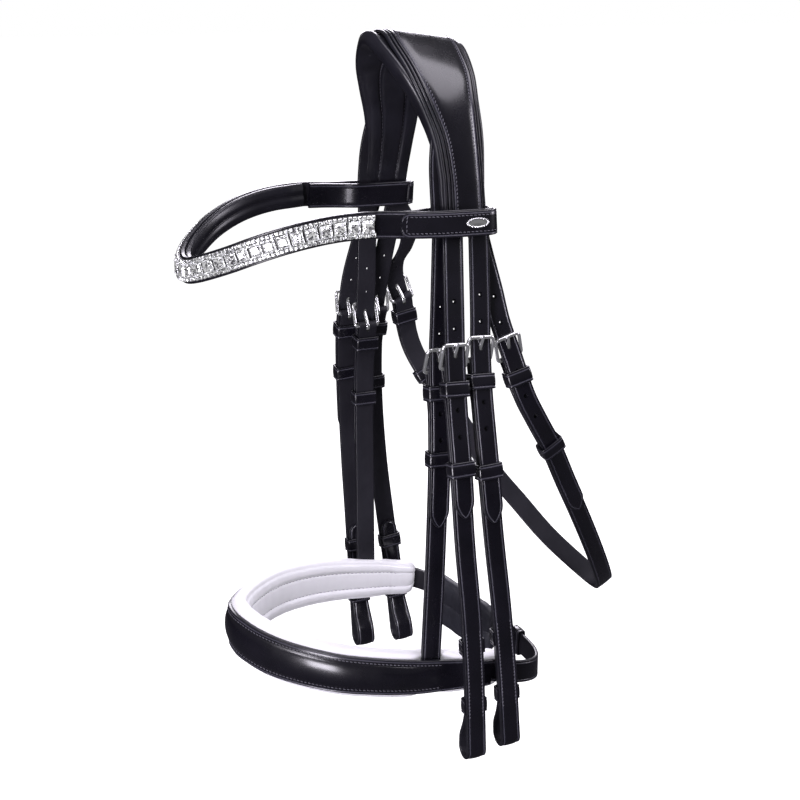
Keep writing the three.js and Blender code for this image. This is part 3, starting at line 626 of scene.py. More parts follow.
def buckle(name, place, body, half):
    heel_r, front_r = 1.9, 2.7
    front = FRAME_LENGTH - front_r
    rings = []
    for x, e, turn, r in (
        (half - heel_r, heel_r, -90, heel_r),
        (half - front_r, front, 0, front_r),
        (front_r - half, front, 90, front_r),
        (heel_r - half, heel_r, 180, heel_r),
    ):
        for w in np.radians(turn + np.linspace(0, 90, 7)):
            c, s = math.cos(w), math.sin(w)
            rings.append([
                in_frame(place, x + c * (r + a), e + s * (r + a), b * 0.92)
                for a, b in circle(14, WIRE_RADIUS)
            ])
    frame_piece = loft(name + "_frame", rings, (STEEL,), closed=True)
    settle(frame_piece, body, "buckle_steel", name)


def tongue(name, place):
    """A pin bent round the heel bar, and lying on the front bar."""
    rest = WIRE_RADIUS + 0.25 + TONGUE_THICKNESS / 2
    lean = math.asin((RING_RADIUS + rest) / FRAME_LENGTH)
    path = [
        (RING_RADIUS * math.cos(w), RING_RADIUS * math.sin(w))
        for w in np.linspace(math.radians(60), 1.5 * math.pi + lean, RING_STEPS)
    ]
    e0, f0 = path[-1]
    reach = (FRAME_LENGTH + TONGUE_OVERHANG) / math.cos(lean) - e0
    for t in np.linspace(0.08, 1, 14):
        drop = 0.45 * max(0.0, (t - 0.82) / 0.18) ** 2
        path.append((e0 + t * reach * math.cos(lean), f0 + t * reach * math.sin(lean) - drop))
    path = np.array(path)
    d = unit(np.gradient(path, axis=0))
    rings = []
    total = len(path)
    for i, (e, f) in enumerate(path):
        near_tip = max(0.0, (i - total + 6) / 6)
        taper = 1 - 0.25 * max(0.0, (i - RING_STEPS) / (total - RING_STEPS))
        w = TONGUE_WIDTH / 2 * taper * (1 - 0.55 * near_tip**2)
        h = TONGUE_THICKNESS / 2 * (1 - 0.6 * near_tip**2)
        ring = []
        for a, b in circle(12, 1):
            a = math.copysign(abs(a) ** 0.7, a)
            b = math.copysign(abs(b) ** 0.8, b)
            ring.append(in_frame(place, a * w, e - d[i][1] * b * h, f + d[i][0] * b * h))
        rings.append(ring)
    settle(loft(name + "_pin", rings, (STEEL,)), name, "buckle_steel", name)


def corner(cx, cy, r, turn, swing=90):
    """A quarter turn of a keeper's loop: places and outward directions."""
    turns = [(math.cos(w), math.sin(w)) for w in np.radians(turn + np.linspace(0, swing, 6))]
    return [(cx + r * c, cy + r * s, c, s) for c, s in turns]


def band_round(name, place, loop, raised, closed, body, *nodes):
    """A creased leather band round a strap, along a loop of places and outward directions."""
    point, along, across, out = place
    section, kinds = strap_section(KEEPER_LENGTH / 2, KEEPER_WALL, raised, 1.5, 0.2)
    rings = []
    for x, y, nx, ny in loop:
        centre = point + across * x + out * y
        normal = across * nx + out * ny
        rings.append(centre + section[:, :1] * along + section[:, 1:] * normal)
    settle(loft(name, rings, LEATHER_SET, kinds, closed), body, "bridle_leather", *nodes)


def keeper(name, place, low, high, width, body, node):
    """A closed loop round a strap's layers, from depth low to depth high."""
    r = 1.25
    x = width / 2 + KEEPER_SIDE_GAP + KEEPER_WALL / 2 - r
    bottom, top = low - KEEPER_WALL / 2 + r, high + KEEPER_WALL / 2 - r
    loop = corner(x, bottom, r, -90) + corner(x, top, r, 0)
    loop += [(x * f, top + r + 0.22 * (1 - f * f), 0, 1) for f in (0.7, 0.35, 0.0, -0.35, -0.7)]
    loop += corner(-x, top, r, 90) + corner(-x, bottom, r, 180)
    band_round(name, place, loop, 0.12, True, body, node)


def nub_keeper(name, place, body):
    """A small loop on the back of the strap that holds its turned-up end."""
    half = LOOP_TONGUE_WIDTH / 2 + KEEPER_SIDE_GAP + KEEPER_WALL / 2
    low, high = -6.75 - KEEPER_WALL / 2, -2.4
    r = 1.2
    flare = [(half + 0.25, high + 1.5), (half + 0.15, high + 0.4), (half, high - 1)]
    loop = [(x, y, 1, 0) for x, y in flare]
    loop += corner(half - r, low + r, r, 0, -90) + corner(r - half, low + r, r, -90, -90)
    loop += [(-x, y, -1, 0) for x, y in reversed(flare)]
    band_round(name, place, loop, 0.1, False, body)


def fittings(name, line, heel, slide, body, node=None, low=FOLD_LOW, width=STRAP_WIDTH,
             slider=None, slider_low=-3.75):
    """The buckle, its tongue, and the fixed and sliding keepers below it."""
    place = line.frame(heel)
    slider = slider or name + "_runner"
    buckle(name + "_buckle", place, body, BUCKLE_HALF_WIDTH + (width - STRAP_WIDTH) / 2)
    tongue(name + "_tongue", place)
    below = line.frame(heel + KEEPER_DROP)
    keeper(name + "_keeper_loop", below, low, 2.9, width, body, node or name + "_keeper")
    keeper(name + "_runner_loop", line.frame(slide), slider_low, 3.0, width, slider, slider)


def billet(name, line, heel, tip, body, start=-9.0, width=STRAP_WIDTH):
    """A pointed strap end with its holes, creased along its edges."""
    depth = LAYER_GAP + BILLET_THICKNESS / 2
    marks = tip_marks(start, tip, 2.6, width)
    path = line_path(line, marks, depth)
    obj = strap_piece(name + "_tail", path, pointed(marks, tip, width), BILLET_THICKNESS)
    slot = heel - TONGUE_SLOT
    cuts = [prism(line.frame(slot - 0.9), depth, oval(4.4, 2.5), 8)]
    rims = []
    hole = circle(16, 1) * (1, -1)
    for k in (-2, -1, 1, 2, 3):
        s = slot + k * HOLE_PITCH
        if max(start, 0) + 8 < s < tip - 10:
            cuts.append(prism(line.frame(s), depth, hole * HOLE_BORE, 8))
            rims.append(prism(line.frame(s), depth + 1.4, hole * HOLE_MOUTH, 3.6))
    cut_with(obj, rims)
    cut_with(obj, cuts)
    settle(obj, body, "bridle_leather", name + "_billet")


def fold(line, heel, downs=()):
    """A strap folded round a heel bar: outer leg up, over the bar, inner leg down, and on."""
    point, along, across, out = line.frame(heel)
    points, thick = [], []
    for back in np.linspace(14.5, 0.8, 8):
        points.append(line.at(heel + back, depth=HEEL_DEPTH + WRAP_RADIUS))
        thick.append(CHAPE_THICKNESS * min(1, 0.35 + (14.5 - back) / 3))
    for w in np.radians(np.linspace(90, -90, 17)):
        up = WRAP_RADIUS * math.cos(w)
        points.append(point - along * up + out * (HEEL_DEPTH + WRAP_RADIUS * math.sin(w)))
        thick.append(CHAPE_THICKNESS)
    legs = np.arange(1.2, 34, 1.4)
    depths = [-5.4, -4.6, -3.7, -3.3, -3.3, STRAP_DEPTH, STRAP_DEPTH]
    depth = smooth_steps([0, 4, 8, 12, 15, 24, 60], depths, legs, 1.5)
    points.extend(line.at(heel + legs, depth=depth))
    thick.extend(smooth_steps([0, 4, 8, 12, 24, 60], [1.4, 1.8, 2.4, 2.6, 2.8, 2.8], legs, 1.5))
    points.extend(line.at(downs, depth=STRAP_DEPTH))
    thick.extend([STRAP_THICKNESS] * len(downs))
    return points, thick, across


def folded_strap(name, path, widths, thick, raised, folds, body):
    """The strap itself, with a slot for the tongue in each fold."""
    obj = strap_piece(name + "_body", path, widths, thick, raised)
    slot = oval(7.6, 2.6)
    cut_with(obj, [prism(line.frame(heel - 0.25), -3.2, slot, 7.4) for line, heel in folds])
    settle(obj, body, "bridle_leather", name + "_strap")


# Points down each strap, near side positive, then the heights of its heel bar, its sliding
# keeper and its billet's tip. A cheekpiece turns up at its last point but one.
STRAPS = {
    "near_front_cheek": ([
        [64.9, 1.6, FLEX_Z], [78.2, -2.9, -147], [81.6, -3.9, -163], [85, -4.6, -179],
        [88.4, -5.1, -195], [95.4, -4.4, -236], [99.2, -2.2, -285], [100.8, 1.2, -325],
        [101, 4.2, -370], [101, 6.2, -421], [101, 6.6, -430],
    ], -175.5, -235, -265),
    "near_rear_cheek": ([
        [64.9, 18.6, FLEX_Z], [74, 16.1, -147], [77.5, 14.8, -163], [81, 14.1, -179],
        [84.4, 13.8, -195], [91.2, 15.4, -236], [95, 19.2, -285], [96.6, 23.6, -325],
        [96.6, 28.4, -370], [96.6, 32.2, -419], [96.6, 33, -428],
    ], -173.5, -239.5, -272),
    "near_hanger": ([
        [60.2, -3, FLEX_Z], [65.6, -6.4, -150], [67.9, -7.9, -166], [70.2, -8.8, -182],
        [72.5, -9.2, -198], [75.6, -10, -236], [75.6, -12, -310], [75, -14, -362],
    ], -181, -233.5, -277),
    "off_front_cheek": ([
        [64.9, 0.8, FLEX_Z], [78.2, -7.4, -147], [81.6, -8.9, -163], [85, -9.8, -179],
        [88.4, -9.6, -195], [95.4, -6.6, -236], [99.2, -3.4, -285], [100.8, -0.6, -325],
        [101, 1.8, -370], [101, 4.4, -421], [101, 4.8, -430],
    ], -175, -219, -265),
    "off_rear_cheek": ([
        [64.9, 18, FLEX_Z], [74, 11.8, -147], [77.5, 10.4, -163], [81, 9.4, -179],
        [84.4, 9.1, -195], [90.2, 11.2, -236], [94, 16, -285], [95.6, 21.4, -325],
        [95.6, 27.4, -370], [95.6, 32.6, -419], [95.6, 33.4, -428],
    ], -174, -227, -270),
    "off_hanger": ([
        [60.2, -3, FLEX_Z], [64.6, -2.4, -150], [66.8, -2.3, -166], [69, -2.2, -182],
        [71.2, -2, -198], [75.6, -1.4, -236], [75.6, -1.2, -310], [75, -1.2, -354],
    ], -181, -234, -275),
}


def strap_line(name):
    """A strap's line, and how far along it its heel bar, sliding keeper and tip are."""
    points, *heights = STRAPS[name]
    sign = 1 if name.startswith("near") else -1
    line = Line([(x * sign, y, z) for x, y, z in points], (0, sign, 0))
    return line, *(line.find("z", z) for z in heights)


def flex(body, line, top=-99.6, bottom=-119):
    """The headpiece and a tail's own body, with a point above the browband's lower edge and one
    below.
    """
    x, y, _ = line.p[0]
    return ("headpiece", body, (x, y, top), (x, y, bottom))


def cheekpiece(name):
    line, heel, slide, tip = strap_line(name)
    arc = line.find("z", STRAPS[name][0][-2][2])
    billet(name, line, heel, tip, flex(name, line))
    points, thick, _ = fold(line, heel, np.arange(heel + 36, arc - 0.5, 2.6))
    point, along, across, out = line.frame(arc)
    centre = STRAP_DEPTH - LOOP_RADIUS
    for w in np.radians(np.linspace(0, 180, 21)):
        rise = centre + LOOP_RADIUS * math.cos(w)
        points.append(point + along * LOOP_RADIUS * math.sin(w) + out * rise)
    inner = STRAP_DEPTH - STRAP_THICKNESS - 0.3
    near_end = LOOP_TONGUE - 8 * (1 - np.linspace(0, 1, 12)) ** 1.5
    ups = np.concatenate([np.arange(1.5, LOOP_TONGUE - 8, 1.5), near_end])
    low = centre - LOOP_RADIUS
    depths = [low, low + 0.9, inner - 2.2, inner, inner]
    depth = smooth_steps([0, 8, 17, LOOP_CLOSES, 120], depths, ups, 2.5)
    widths = [STRAP_WIDTH] * len(points)
    for up, end in zip(ups, rounded(ups, LOOP_TONGUE, LOOP_TONGUE_WIDTH)):
        share = min(max((up - 16) / 12, 0), 1)
        width = STRAP_WIDTH + (LOOP_TONGUE_WIDTH - STRAP_WIDTH) * share
        widths.append(min(width, end) if share >= 1 else width)
    points.extend(line.at(arc - ups, depth=depth))
    thick += [STRAP_THICKNESS] * (len(points) - len(thick))
    folded_strap(name, Path(points, across), widths, thick, 0.35, [(line, heel)], name)
    for index, up in enumerate(LOOP_KEEPERS):
        nub_keeper(f"{name}_small_keeper_{index + 1}", line.frame(arc - up), name)
    marks = np.linspace(arc - LOOP_TONGUE + 4, arc - 23, 40)
    _, along, _, out = line.frame(marks)
    for index, x in enumerate((-4.5, 4.5)):
        p = line.at(marks, x, STRAP_DEPTH + STRAP_THICKNESS / 2 + 0.2)
        stitches(f"{name}_stitches_{index + 1}", name, p, along, out, 2.3, 1.7, 0.32)
    fittings(name, line, heel, slide, name)


def hanger(name):
    line, heel, slide, tip = strap_line(name)
    billet(name, line, heel, tip, flex("noseband", line))
    points, thick, across = fold(line, heel, np.linspace(heel + 36, line.length + 9, 60))
    path = Path(points, across)
    folded_strap(name, path, STRAP_WIDTH, thick, 0.25, [(line, heel)], "noseband")
    fittings(name, line, heel, slide, "noseband")


for each in STRAPS:
    (hanger if each.endswith("hanger") else cheekpiece)(each)


# ---- throatlash
THROAT_HEIGHTS = {"near": (-175.5, -237.5, -288), "off": (-169.3, -223, -280)}
THROAT_HINT = np.array([0, 0.85, 0.5])
THROAT_POINTS = [
    [60, 21, -101.8], [61.6, 24.4, -116], [65.4, 28.2, -134], [70, 31.4, -153],
    [73.6, 38.6, -175.5], [77, 46.2, -199.4], [74.2, 56, -216], [67.8, 70, -237],
    [58, 87, -266], [47, 104.4, -294], [33, 124, -326], [18, 141, -354], [6, 149.4, -367.6],
    [-6, 148.6, -367.2], [-17, 137.6, -356], [-30, 121, -338], [-42, 105, -316],
    [-54, 86, -290], [-69.4, 64.4, -250], [-81.6, 47.8, -222], [-87, 38.8, -202],
    [-87, 31.2, -168.5], [-87, 27.8, -154.6], [-84, 27.2, -146], [-75, 29.8, -134.6],
    [-65, 29.2, -122], [-61, 25.8, -112], [-60, 20.6, -103.4],
]


def eased(points, reach=7):
    """Rounds off the turn at the bottom of the strap, and leaves the rest alone."""
    weights = np.hanning(2 * reach + 3)[1:-1]
    weights /= weights.sum()
    padded = np.pad(points, ((reach, reach), (0, 0)), "edge")
    smooth = np.column_stack([np.convolve(padded[:, k], weights, "valid") for k in range(3)])
    share = np.clip((48 - np.abs(points[:, 0])) / 20, 0, 1)[:, None]
    return points * (1 - share) + smooth * share


def throatlash():
    near = Line(THROAT_POINTS, THROAT_HINT)
    off = Line(THROAT_POINTS[::-1], -THROAT_HINT)
    folds = []
    for side, line in (("near", near), ("off", off)):
        name = side + "_throat"
        heel, slide, tip = (line.find("z", z) for z in THROAT_HEIGHTS[side])
        billet(name, line, heel, tip, flex("throatlash", line, -101, -120), start=-8.0)
        fittings(name, line, heel, slide, "throatlash", "throatlash_strap", SEWN_LOW)
        folds.append((line, heel))
    first, thick_first, _ = fold(*folds[0])
    last, thick_last, _ = fold(*folds[1])
    marks = np.arange(folds[0][1] + 36, near.length - folds[1][1] - 36, 2.8)
    points = [*first, *eased(near.at(marks, depth=STRAP_DEPTH)), *last[::-1]]
    thick = [*thick_first, *([STRAP_THICKNESS] * len(marks)), *thick_last[::-1]]
    path = Path(points, THROAT_HINT)
    folded_strap("throatlash", path, STRAP_WIDTH, thick, 0.2, folds, "throatlash")


throatlash()


# ---- crown
CROWN_TILT = 0.13
SLIPHEAD_DEPTH = 3.75
PADDING_TOP = -1.45  # depth of the padding's outer face, under the leather
CHANNELS = (0.3, 0.7)  # where across a pad its two sewn channels lie
# Outward distance, height, then the front and rear edges of the leather and of the padding.
CROWN_ROWS = np.array([
    [66.0, -99, -4.5, 24.5, -4.2, 24.2],
    [64.2, -83, -4.3, 24.3, -4.3, 24.6],
    [62.8, -74, -4.2, 24.2, -4.6, 25.0],
    [60.6, -62, -4.5, 24.1, -5.0, 26.0],
    [56.0, -42, -6.9, 24.1, -7.6, 27.5],
    [48.6, -22, -13.0, 25.0, -13.8, 28.1],
    [37.0, -6, -17.5, 27.5, -20.2, 31.0],
    [21.0, 6, -20.1, 29.3, -25.2, 34.0],
    [7.0, 13.35, -20.7, 29.9, -27.8, 35.0],
])


def catmull(points, per, closed=False):
    """A smooth curve through points, with so many steps between each two."""
    p = np.asarray(points, float)
    ends = (p[-1:], p[:2]) if closed else (2 * p[:1] - p[1:2], 2 * p[-1:] - p[-2:-1])
    ext = np.vstack([ends[0], p, ends[1]])
    made = []
    for i in range(len(p) if closed else len(p) - 1):
        a, b, c, d = ext[i : i + 4]
        for t in np.linspace(0, 1, per, endpoint=False):
            square = (2 * a - 5 * b + 4 * c - d) * t**2
            made.append(0.5 * (2 * b + (c - a) * t + square + (3 * b - a - 3 * c + d) * t**3))
    if not closed:
        made.append(p[-1])
    return np.array(made)


CROWN = catmull(np.vstack([CROWN_ROWS, CROWN_ROWS[::-1] * (-1, 1, 1, 1, 1, 1)]), 7)
CROWN_PATH = Path(CROWN[:, :2] @ [[1, 0, 0], [0, 0, 1]], (0, -1, CROWN_TILT))


def low_enough(limit):
    return [i for i in range(len(CROWN)) if CROWN[i, 1] >= limit]


def crown():
    stations = low_enough(-97.5)
    along, out = CROWN_PATH.along[stations], CROWN_PATH.out[stations]
    rings = []
    rows = {"front": [], "rear": []}
    for i in stations:
        front, rear = CROWN[i, 2] + 6.0, CROWN[i, 3] - 2.6
        section, kinds = strap_section((rear - front) / 2, 3.0, 0.9, 1.9, 0.25)
        rings.append(CROWN_PATH.ring(i, section + (-(rear + front) / 2, 0.5)))
        rows["front"].append(CROWN_PATH.spot(i, -front - 3.1, 2.18))
        rows["rear"].append(CROWN_PATH.spot(i, 3.1 - rear, 2.18))
    panel = loft("crown_panel", rings, LEATHER_SET, kinds, sharp=60)
    settle(panel, "headpiece", "bridle_leather", "crown_leather")
    for end, points in rows.items():
        stitches(f"crown_stitches_{end}", "headpiece", points, along, out, 2.3, 1.75, 0.27)
    for name, column, inset, radius, depth in (
        ("crown_piping_front", 2, 2.2, 1.25, 0.1),
        ("crown_band_front", 2, 4.7, 0.95, 0.7),
        ("crown_piping_rear", 3, -1.3, 1.0, 0.1),
    ):
        bead = circle(10, radius)
        rings = [CROWN_PATH.ring(i, bead + (-CROWN[i, column] - inset, depth)) for i in stations]
        settle(loft(name, rings, (SOFT,)), "headpiece", "soft_leather")
    section, kinds = strap_section(STRAP_WIDTH / 2, 2.2)
    rings = []
    for i in low_enough(-98):
        ease = 1 / (1 + math.exp((abs(CROWN[i, 0]) - 58) * -0.8))
        rings.append(CROWN_PATH.ring(i, section + (3.5 * ease, -SLIPHEAD_DEPTH)))
    slip = loft("crown_sliphead_strap", rings, LEATHER_SET, kinds)
    settle(slip, "headpiece", "bridle_leather", "crown_sliphead")


def pad_loop(front, rear, top, thick, roll, channels=CHANNELS, groove=0.9):
    """The closed section of a rolled-edge pad: width runs front to rear, its outer face at top."""
    w = rear - front
    low = top - thick
    mid = (top + low) / 2
    points = [
        (front + roll * 2.3, top - 0.35), (front + roll * 1.5, top + roll * 0.28),
        (front + roll * 0.75, top + roll * 0.42), (front + roll * 0.18, top - roll * 0.15),
        (front, mid + 0.1 * thick), (front + roll * 0.25, mid - 0.24 * thick),
        (front + roll * 0.9, low + 0.16 * thick), (front + w * 0.12, low + 0.03 * thick),
    ]
    inner = []
    edges = [0.12, *channels, 0.88]
    for c, d in zip(edges, edges[1:]):
        if c != edges[0]:
            inner.append((front + w * (c - 0.035), low + 0.12))
            inner.append((front + w * c, low + groove))
            inner.append((front + w * (c + 0.035), low + 0.12))
        inner.append((front + w * (c + d) / 2, low - 0.35))
    back = [(front + rear - y, d) for y, d in reversed(points)]
    outer = [(front + w * f, top - drop) for f, drop in ((0.7, 0.5), (0.5, 0.6), (0.3, 0.5))]
    return catmull(points + inner + back + outer, 4, closed=True)


def crown_padding():
    stations = low_enough(-88.5)
    fades = np.clip((CROWN[:, 1] + 90) / 62, 0, 1)
    depths = 2.2 + 7.4 * fades**0.85
    sections = []
    for i in stations:
        wave = 0.22 * math.sin(i * 0.9) + 0.15 * math.sin(i * 2.3)
        sections.append(pad_loop(
            CROWN[i, 4] - 0.1 * wave, CROWN[i, 5], PADDING_TOP, depths[i] + 0.3 * wave,
            1.3 + 1.8 * fades[i], groove=0.5 + 1.3 * fades[i],
        ))
    for k in (0, -1):
        middle = sections[k].mean(axis=0)
        sections[k] = middle + (sections[k] - middle) * (0.93, 0.4)
    rings = [CROWN_PATH.ring(i, section * (-1, 1)) for i, section in zip(stations, sections)]
    padding("crown_pad", rings, SOFT, "headpiece", "soft_leather", "crown_padding")
    part = stations[4:-4]
    for index, share in enumerate(CHANNELS):
        points = []
        for i in part:
            y = CROWN[i, 4] + (CROWN[i, 5] - CROWN[i, 4]) * share
            points.append(CROWN_PATH.spot(i, -y, PADDING_TOP - depths[i] + 0.35 + 1.3 * fades[i]))
        stitches(
            f"crown_channel_stitches_{index + 1}", "headpiece", points, CROWN_PATH.along[part],
            -CROWN_PATH.out[part], 2.6, 1.9, 0.24, "soft_leather",
        )


crown()
crown_padding()


# ---- browband
BROWBAND_HEIGHT = 16.0
BROWBAND_LEATHER = 2.6
BROWBAND_POINTS = [
    [63.2, -43, -90.6], [63.8, -33, -91], [61.6, -21, -91.4], [57.4, -12, -91.4], [56.7, -4, -91.3],
    [56.7, 10, -91.3], [56.9, 22.6, -91.3], [59, 25.8, -91.3], [64, 26.6, -91.3],
    [69.4, 25.8, -91.3], [71.6, 22.6, -91.3], [71.7, 10, -91.3], [71.4, -4, -91.2],
    [70.4, -16, -91], [68.4, -30, -90.6],
    [66.6, -48, -89.7], [63.6, -70, -91], [60, -87, -94], [54.6, -101, -98], [46.6, -114.6, -103.4],
    [36, -126.4, -109.6], [24, -136, -115], [12, -142, -119], [4, -143.8, -120.4],
]
STONE_PITCH = 8.2
LOOP_POINTS = 15


def mirrored(points):
    return [[-x, *rest] for x, *rest in points][::-1]

WHOLE_BAND = BROWBAND_POINTS + mirrored(BROWBAND_POINTS)
FOREHEAD = WHOLE_BAND[LOOP_POINTS:-LOOP_POINTS]
DOWN = (0, 0, -1)
BAND_LEAN = 0.12  # the band leans with the cheeks, as far forward as LEAN_ENDS
LEAN_ENDS = -40


def band_path(points, depth, step=2.4):
    line = Line(points, DOWN)
    p = line.at(np.linspace(0, line.length, int(line.length / step)), depth=depth)
    lean = np.where(p[:, 1] > LEAN_ENDS, BAND_LEAN * np.sign(p[:, 0]), 0.0)
    lean = np.convolve(np.pad(lean, 6, "edge"), np.ones(13) / 13, "valid")
    return Path(p, np.column_stack([lean, np.zeros(len(p)), -np.ones(len(p))]))


def browband():
    band = strap_piece(
        "browband_band", band_path(WHOLE_BAND, 0), BROWBAND_HEIGHT, BROWBAND_LEATHER, crease=1.5)
    settle(band, "browband", "bridle_leather", "browband_leather")
    lining = band_path(FOREHEAD, -3.2)
    rings = []
    count = len(lining.p)
    for i in range(count):
        fade = min(1.0, (min(i, count - 1 - i) + 1) / 5)
        section = pad_loop(-7.6, 7.6, 1.2, 2.2 + 1.4 * fade, 0.9, (0.5,), 0.1)
        rings.append(lining.ring(i, section))
    name = "browband_soft_lining"
    padding(name, rings, SOFT, "browband", "soft_leather", "browband_lining")
    tab("near", 1)
    tab("off", -1)


def tab(side, sign):
    """The band's end, turned round the headpiece and sewn down on its outside."""
    points = BROWBAND_POINTS[6:16]
    line = Line(points if sign > 0 else mirrored(points), DOWN)
    end = line.find("y", -32.5)
    if sign > 0:
        marks = tip_marks(0, end, 2.2, 12)
    else:
        marks = (line.length - tip_marks(0, line.length - end, 2.2, 12))[::-1]
    far = np.abs(marks - end)
    corner_reach, inset = 5.0, 2.7
    height = 15.0 - 2 * corner_reach * (1 - quarter(far / corner_reach))
    p = line.at(marks, depth=BROWBAND_LEATHER / 2 + 0.85)
    lean = np.where(p[:, 1] > LEAN_ENDS, BAND_LEAN * sign, 0.0)
    path = Path(p, np.column_stack([lean, np.zeros(len(p)), -np.ones(len(p))]))
    obj = strap_piece(f"{side}_browband_tab", path, height, 1.5, crease=1.3, depth=0.2)
    settle(obj, "browband", "bridle_leather")
    order = [k for k in np.argsort(far) if far[k] > inset]
    outline = [(k, inset - height[k] / 2) for k in order[::-1]]
    outline += [(k, height[k] / 2 - inset) for k in order]
    points = np.array([path.spot(k, y, 0.82) for k, y in outline])
    along = np.gradient(points, axis=0)
    out = [path.out[k] for k, _ in outline]
    name = f"{side}_browband_tab_stitches"
    stitches(name, "browband", points, along, out, 2.6, 1.85, 0.27)


def gem(centre, along, across, out, half_a, half_b, height, girdle=0.3, table=0.55):
    """A step-cut square stone, with its corners cut off."""
    verts = []
    for share, up in ((0.94, 0.0), (1.0, girdle * height), (0.8, 0.72 * height), (table, height)):
        a, b = half_a * share, half_b * share
        c = 0.24 * min(a, b)
        half = [(a, c - b), (a, b - c), (a - c, b), (c - a, b)]
        for x, y in half + [(-x, -y) for x, y in half]:
            verts.append(centre + along * x + across * y + out * up)
    return verts, skin(4, 8)


def tilted(along, across, out, spread):
    """A stone's direction, a little off the band's at random."""
    a, b = rng.normal(0, spread, 2)
    return unit(out + along * a + across * b)


def crystal_rows():
    line = Line(FOREHEAD, DOWN)
    top = BROWBAND_LEATHER / 2 + 0.8
    path = line_path(line, np.linspace(3, line.length - 3, 150), top + 0.3)
    section = [(-6.7, 0.1), (-6.5, 0.45), (6.5, 0.45), (6.7, 0.1), (6.6, -0.5), (-6.6, -0.5)]
    rings = [path.ring(i, section) for i in range(len(path.p))]
    strip = loft("browband_metal_strip", rings, (SETTING,), sharp=30)
    settle(strip, "browband", "bridle_leather")
    gems, claws = [], []
    count = int(line.length // STONE_PITCH)
    first = (line.length - (count - 1) * STONE_PITCH) / 2
    for k in range(count):
        point, *axes = line.frame(first + k * STONE_PITCH)
        along, across, out = axes
        face = tilted(*axes, 0.03)
        gems.append(gem(point + out * (top + 0.75), along, across, face, 3.7, 3.85, 2.5))
        for x, y in ((-3.5, -3.6), (-3.5, 3.6), (3.5, -3.6), (3.5, 3.6)):
            place = point + along * x + across * y + out * (top + 0.7)
            claws.append(gem(place, *axes, 0.55, 0.55, 2.5))
    small = int(line.length // 2.72)
    for k in range(small):
        point, *axes = line.frame((k + 0.5) * line.length / small)
        along, across, out = axes
        for y in (-5.35, 5.35):
            place = point + across * y + out * (top + 0.7)
            face = tilted(*axes, 0.08)
            gems.append(gem(place, along, across, face, 1.2, 1.2, 1.5, 0.35, 0.5))
    cut_stones = finish_mesh("browband_stones", *joined(gems), (STONE,), sharp=10)
    settle(cut_stones, "browband", "clear_stones", "browband_crystals")
    posts = finish_mesh("browband_stone_claws", *joined(claws), (STEEL,), sharp=10)
    settle(posts, "browband", "buckle_steel")


def badge():
    """A plain oval plate with a raised rim and a row of beads."""
    line = Line(BROWBAND_POINTS[10:16], (BAND_LEAN, 0, -1))
    point, *axes = line.frame(line.find("y", 14))
    along, across, out = axes
    base = BROWBAND_LEATHER / 2 + 1.75

    def ellipse(count, a, b, up):
        turns = circle(count, 1)
        return [point + along * a * x + across * b * y + out * (base + up) for x, y in turns]

    profile = (  # share of the full size, and height
        (1.0, -0.35), (1.02, 0.1), (0.98, 0.42), (0.88, 0.5), (0.8, 0.36), (0.74, 0.2),
        (0.5, 0.32), (0.25, 0.42), (0.03, 0.45),
    )
    rings = [ellipse(40, 7.2 * share, 2.9 * share, up) for share, up in profile]
    plate = loft("browband_oval_plate", rings, (STEEL,), sharp=60)
    settle(plate, "browband", "buckle_steel", "browband_badge")
    beads = [gem(spot, *axes, 0.4, 0.4, 0.45, 0.5, 0.5) for spot in ellipse(20, 6.65, 2.65, 0.42)]
    obj = finish_mesh("browband_plate_beads", *joined(beads), (STEEL,), sharp=80)
    settle(obj, "browband", "buckle_steel")


browband()
crystal_rows()
badge()


# ---- noseband
NOSEBAND_LEATHER = 3.6
NOSE_ROLL = 0.066
NOSE_POINTS = [
    [79, 26, -375], [79, 18, -374.4], [79, 7, -373], [79, -8, -371.4], [78.6, -23, -370],
    [76.4, -39, -368.4], [72.6, -54, -367], [66, -71, -365.6], [56, -86.4, -364.2],
    [44, -99.6, -363], [32, -109.6, -361.6], [19, -117.4, -359.6], [7, -122.2, -357.4],
]
NOSE_HEIGHTS = [16.5, 17.4, 19.4, 21, 22.4, 23.4, 24.2, 25, 25.8, 26.4, 27, 27, 27]
PADDING_RISE = 7.6
PADDING_TAIL = [75.6, 36, -375.6]
HANGER_ENDS = {"near": -14, "off": -1.2}  # how far back the hangers meet the noseband


def rolled(points):
    return [[x, y, z - NOSE_ROLL * x] for x, y, z in points]


def nose_line(points):
    """A line round the nose, and the height of the leather along it."""
    points = rolled(points + mirrored(points))
    line = Line(points, DOWN)
    knots = [line.s[np.argmin(np.linalg.norm(line.p - np.array(q), axis=1))] for q in points]
    heights = NOSE_HEIGHTS + NOSE_HEIGHTS[::-1]
    return line, lambda s: smooth_steps(knots, heights, s, 6)


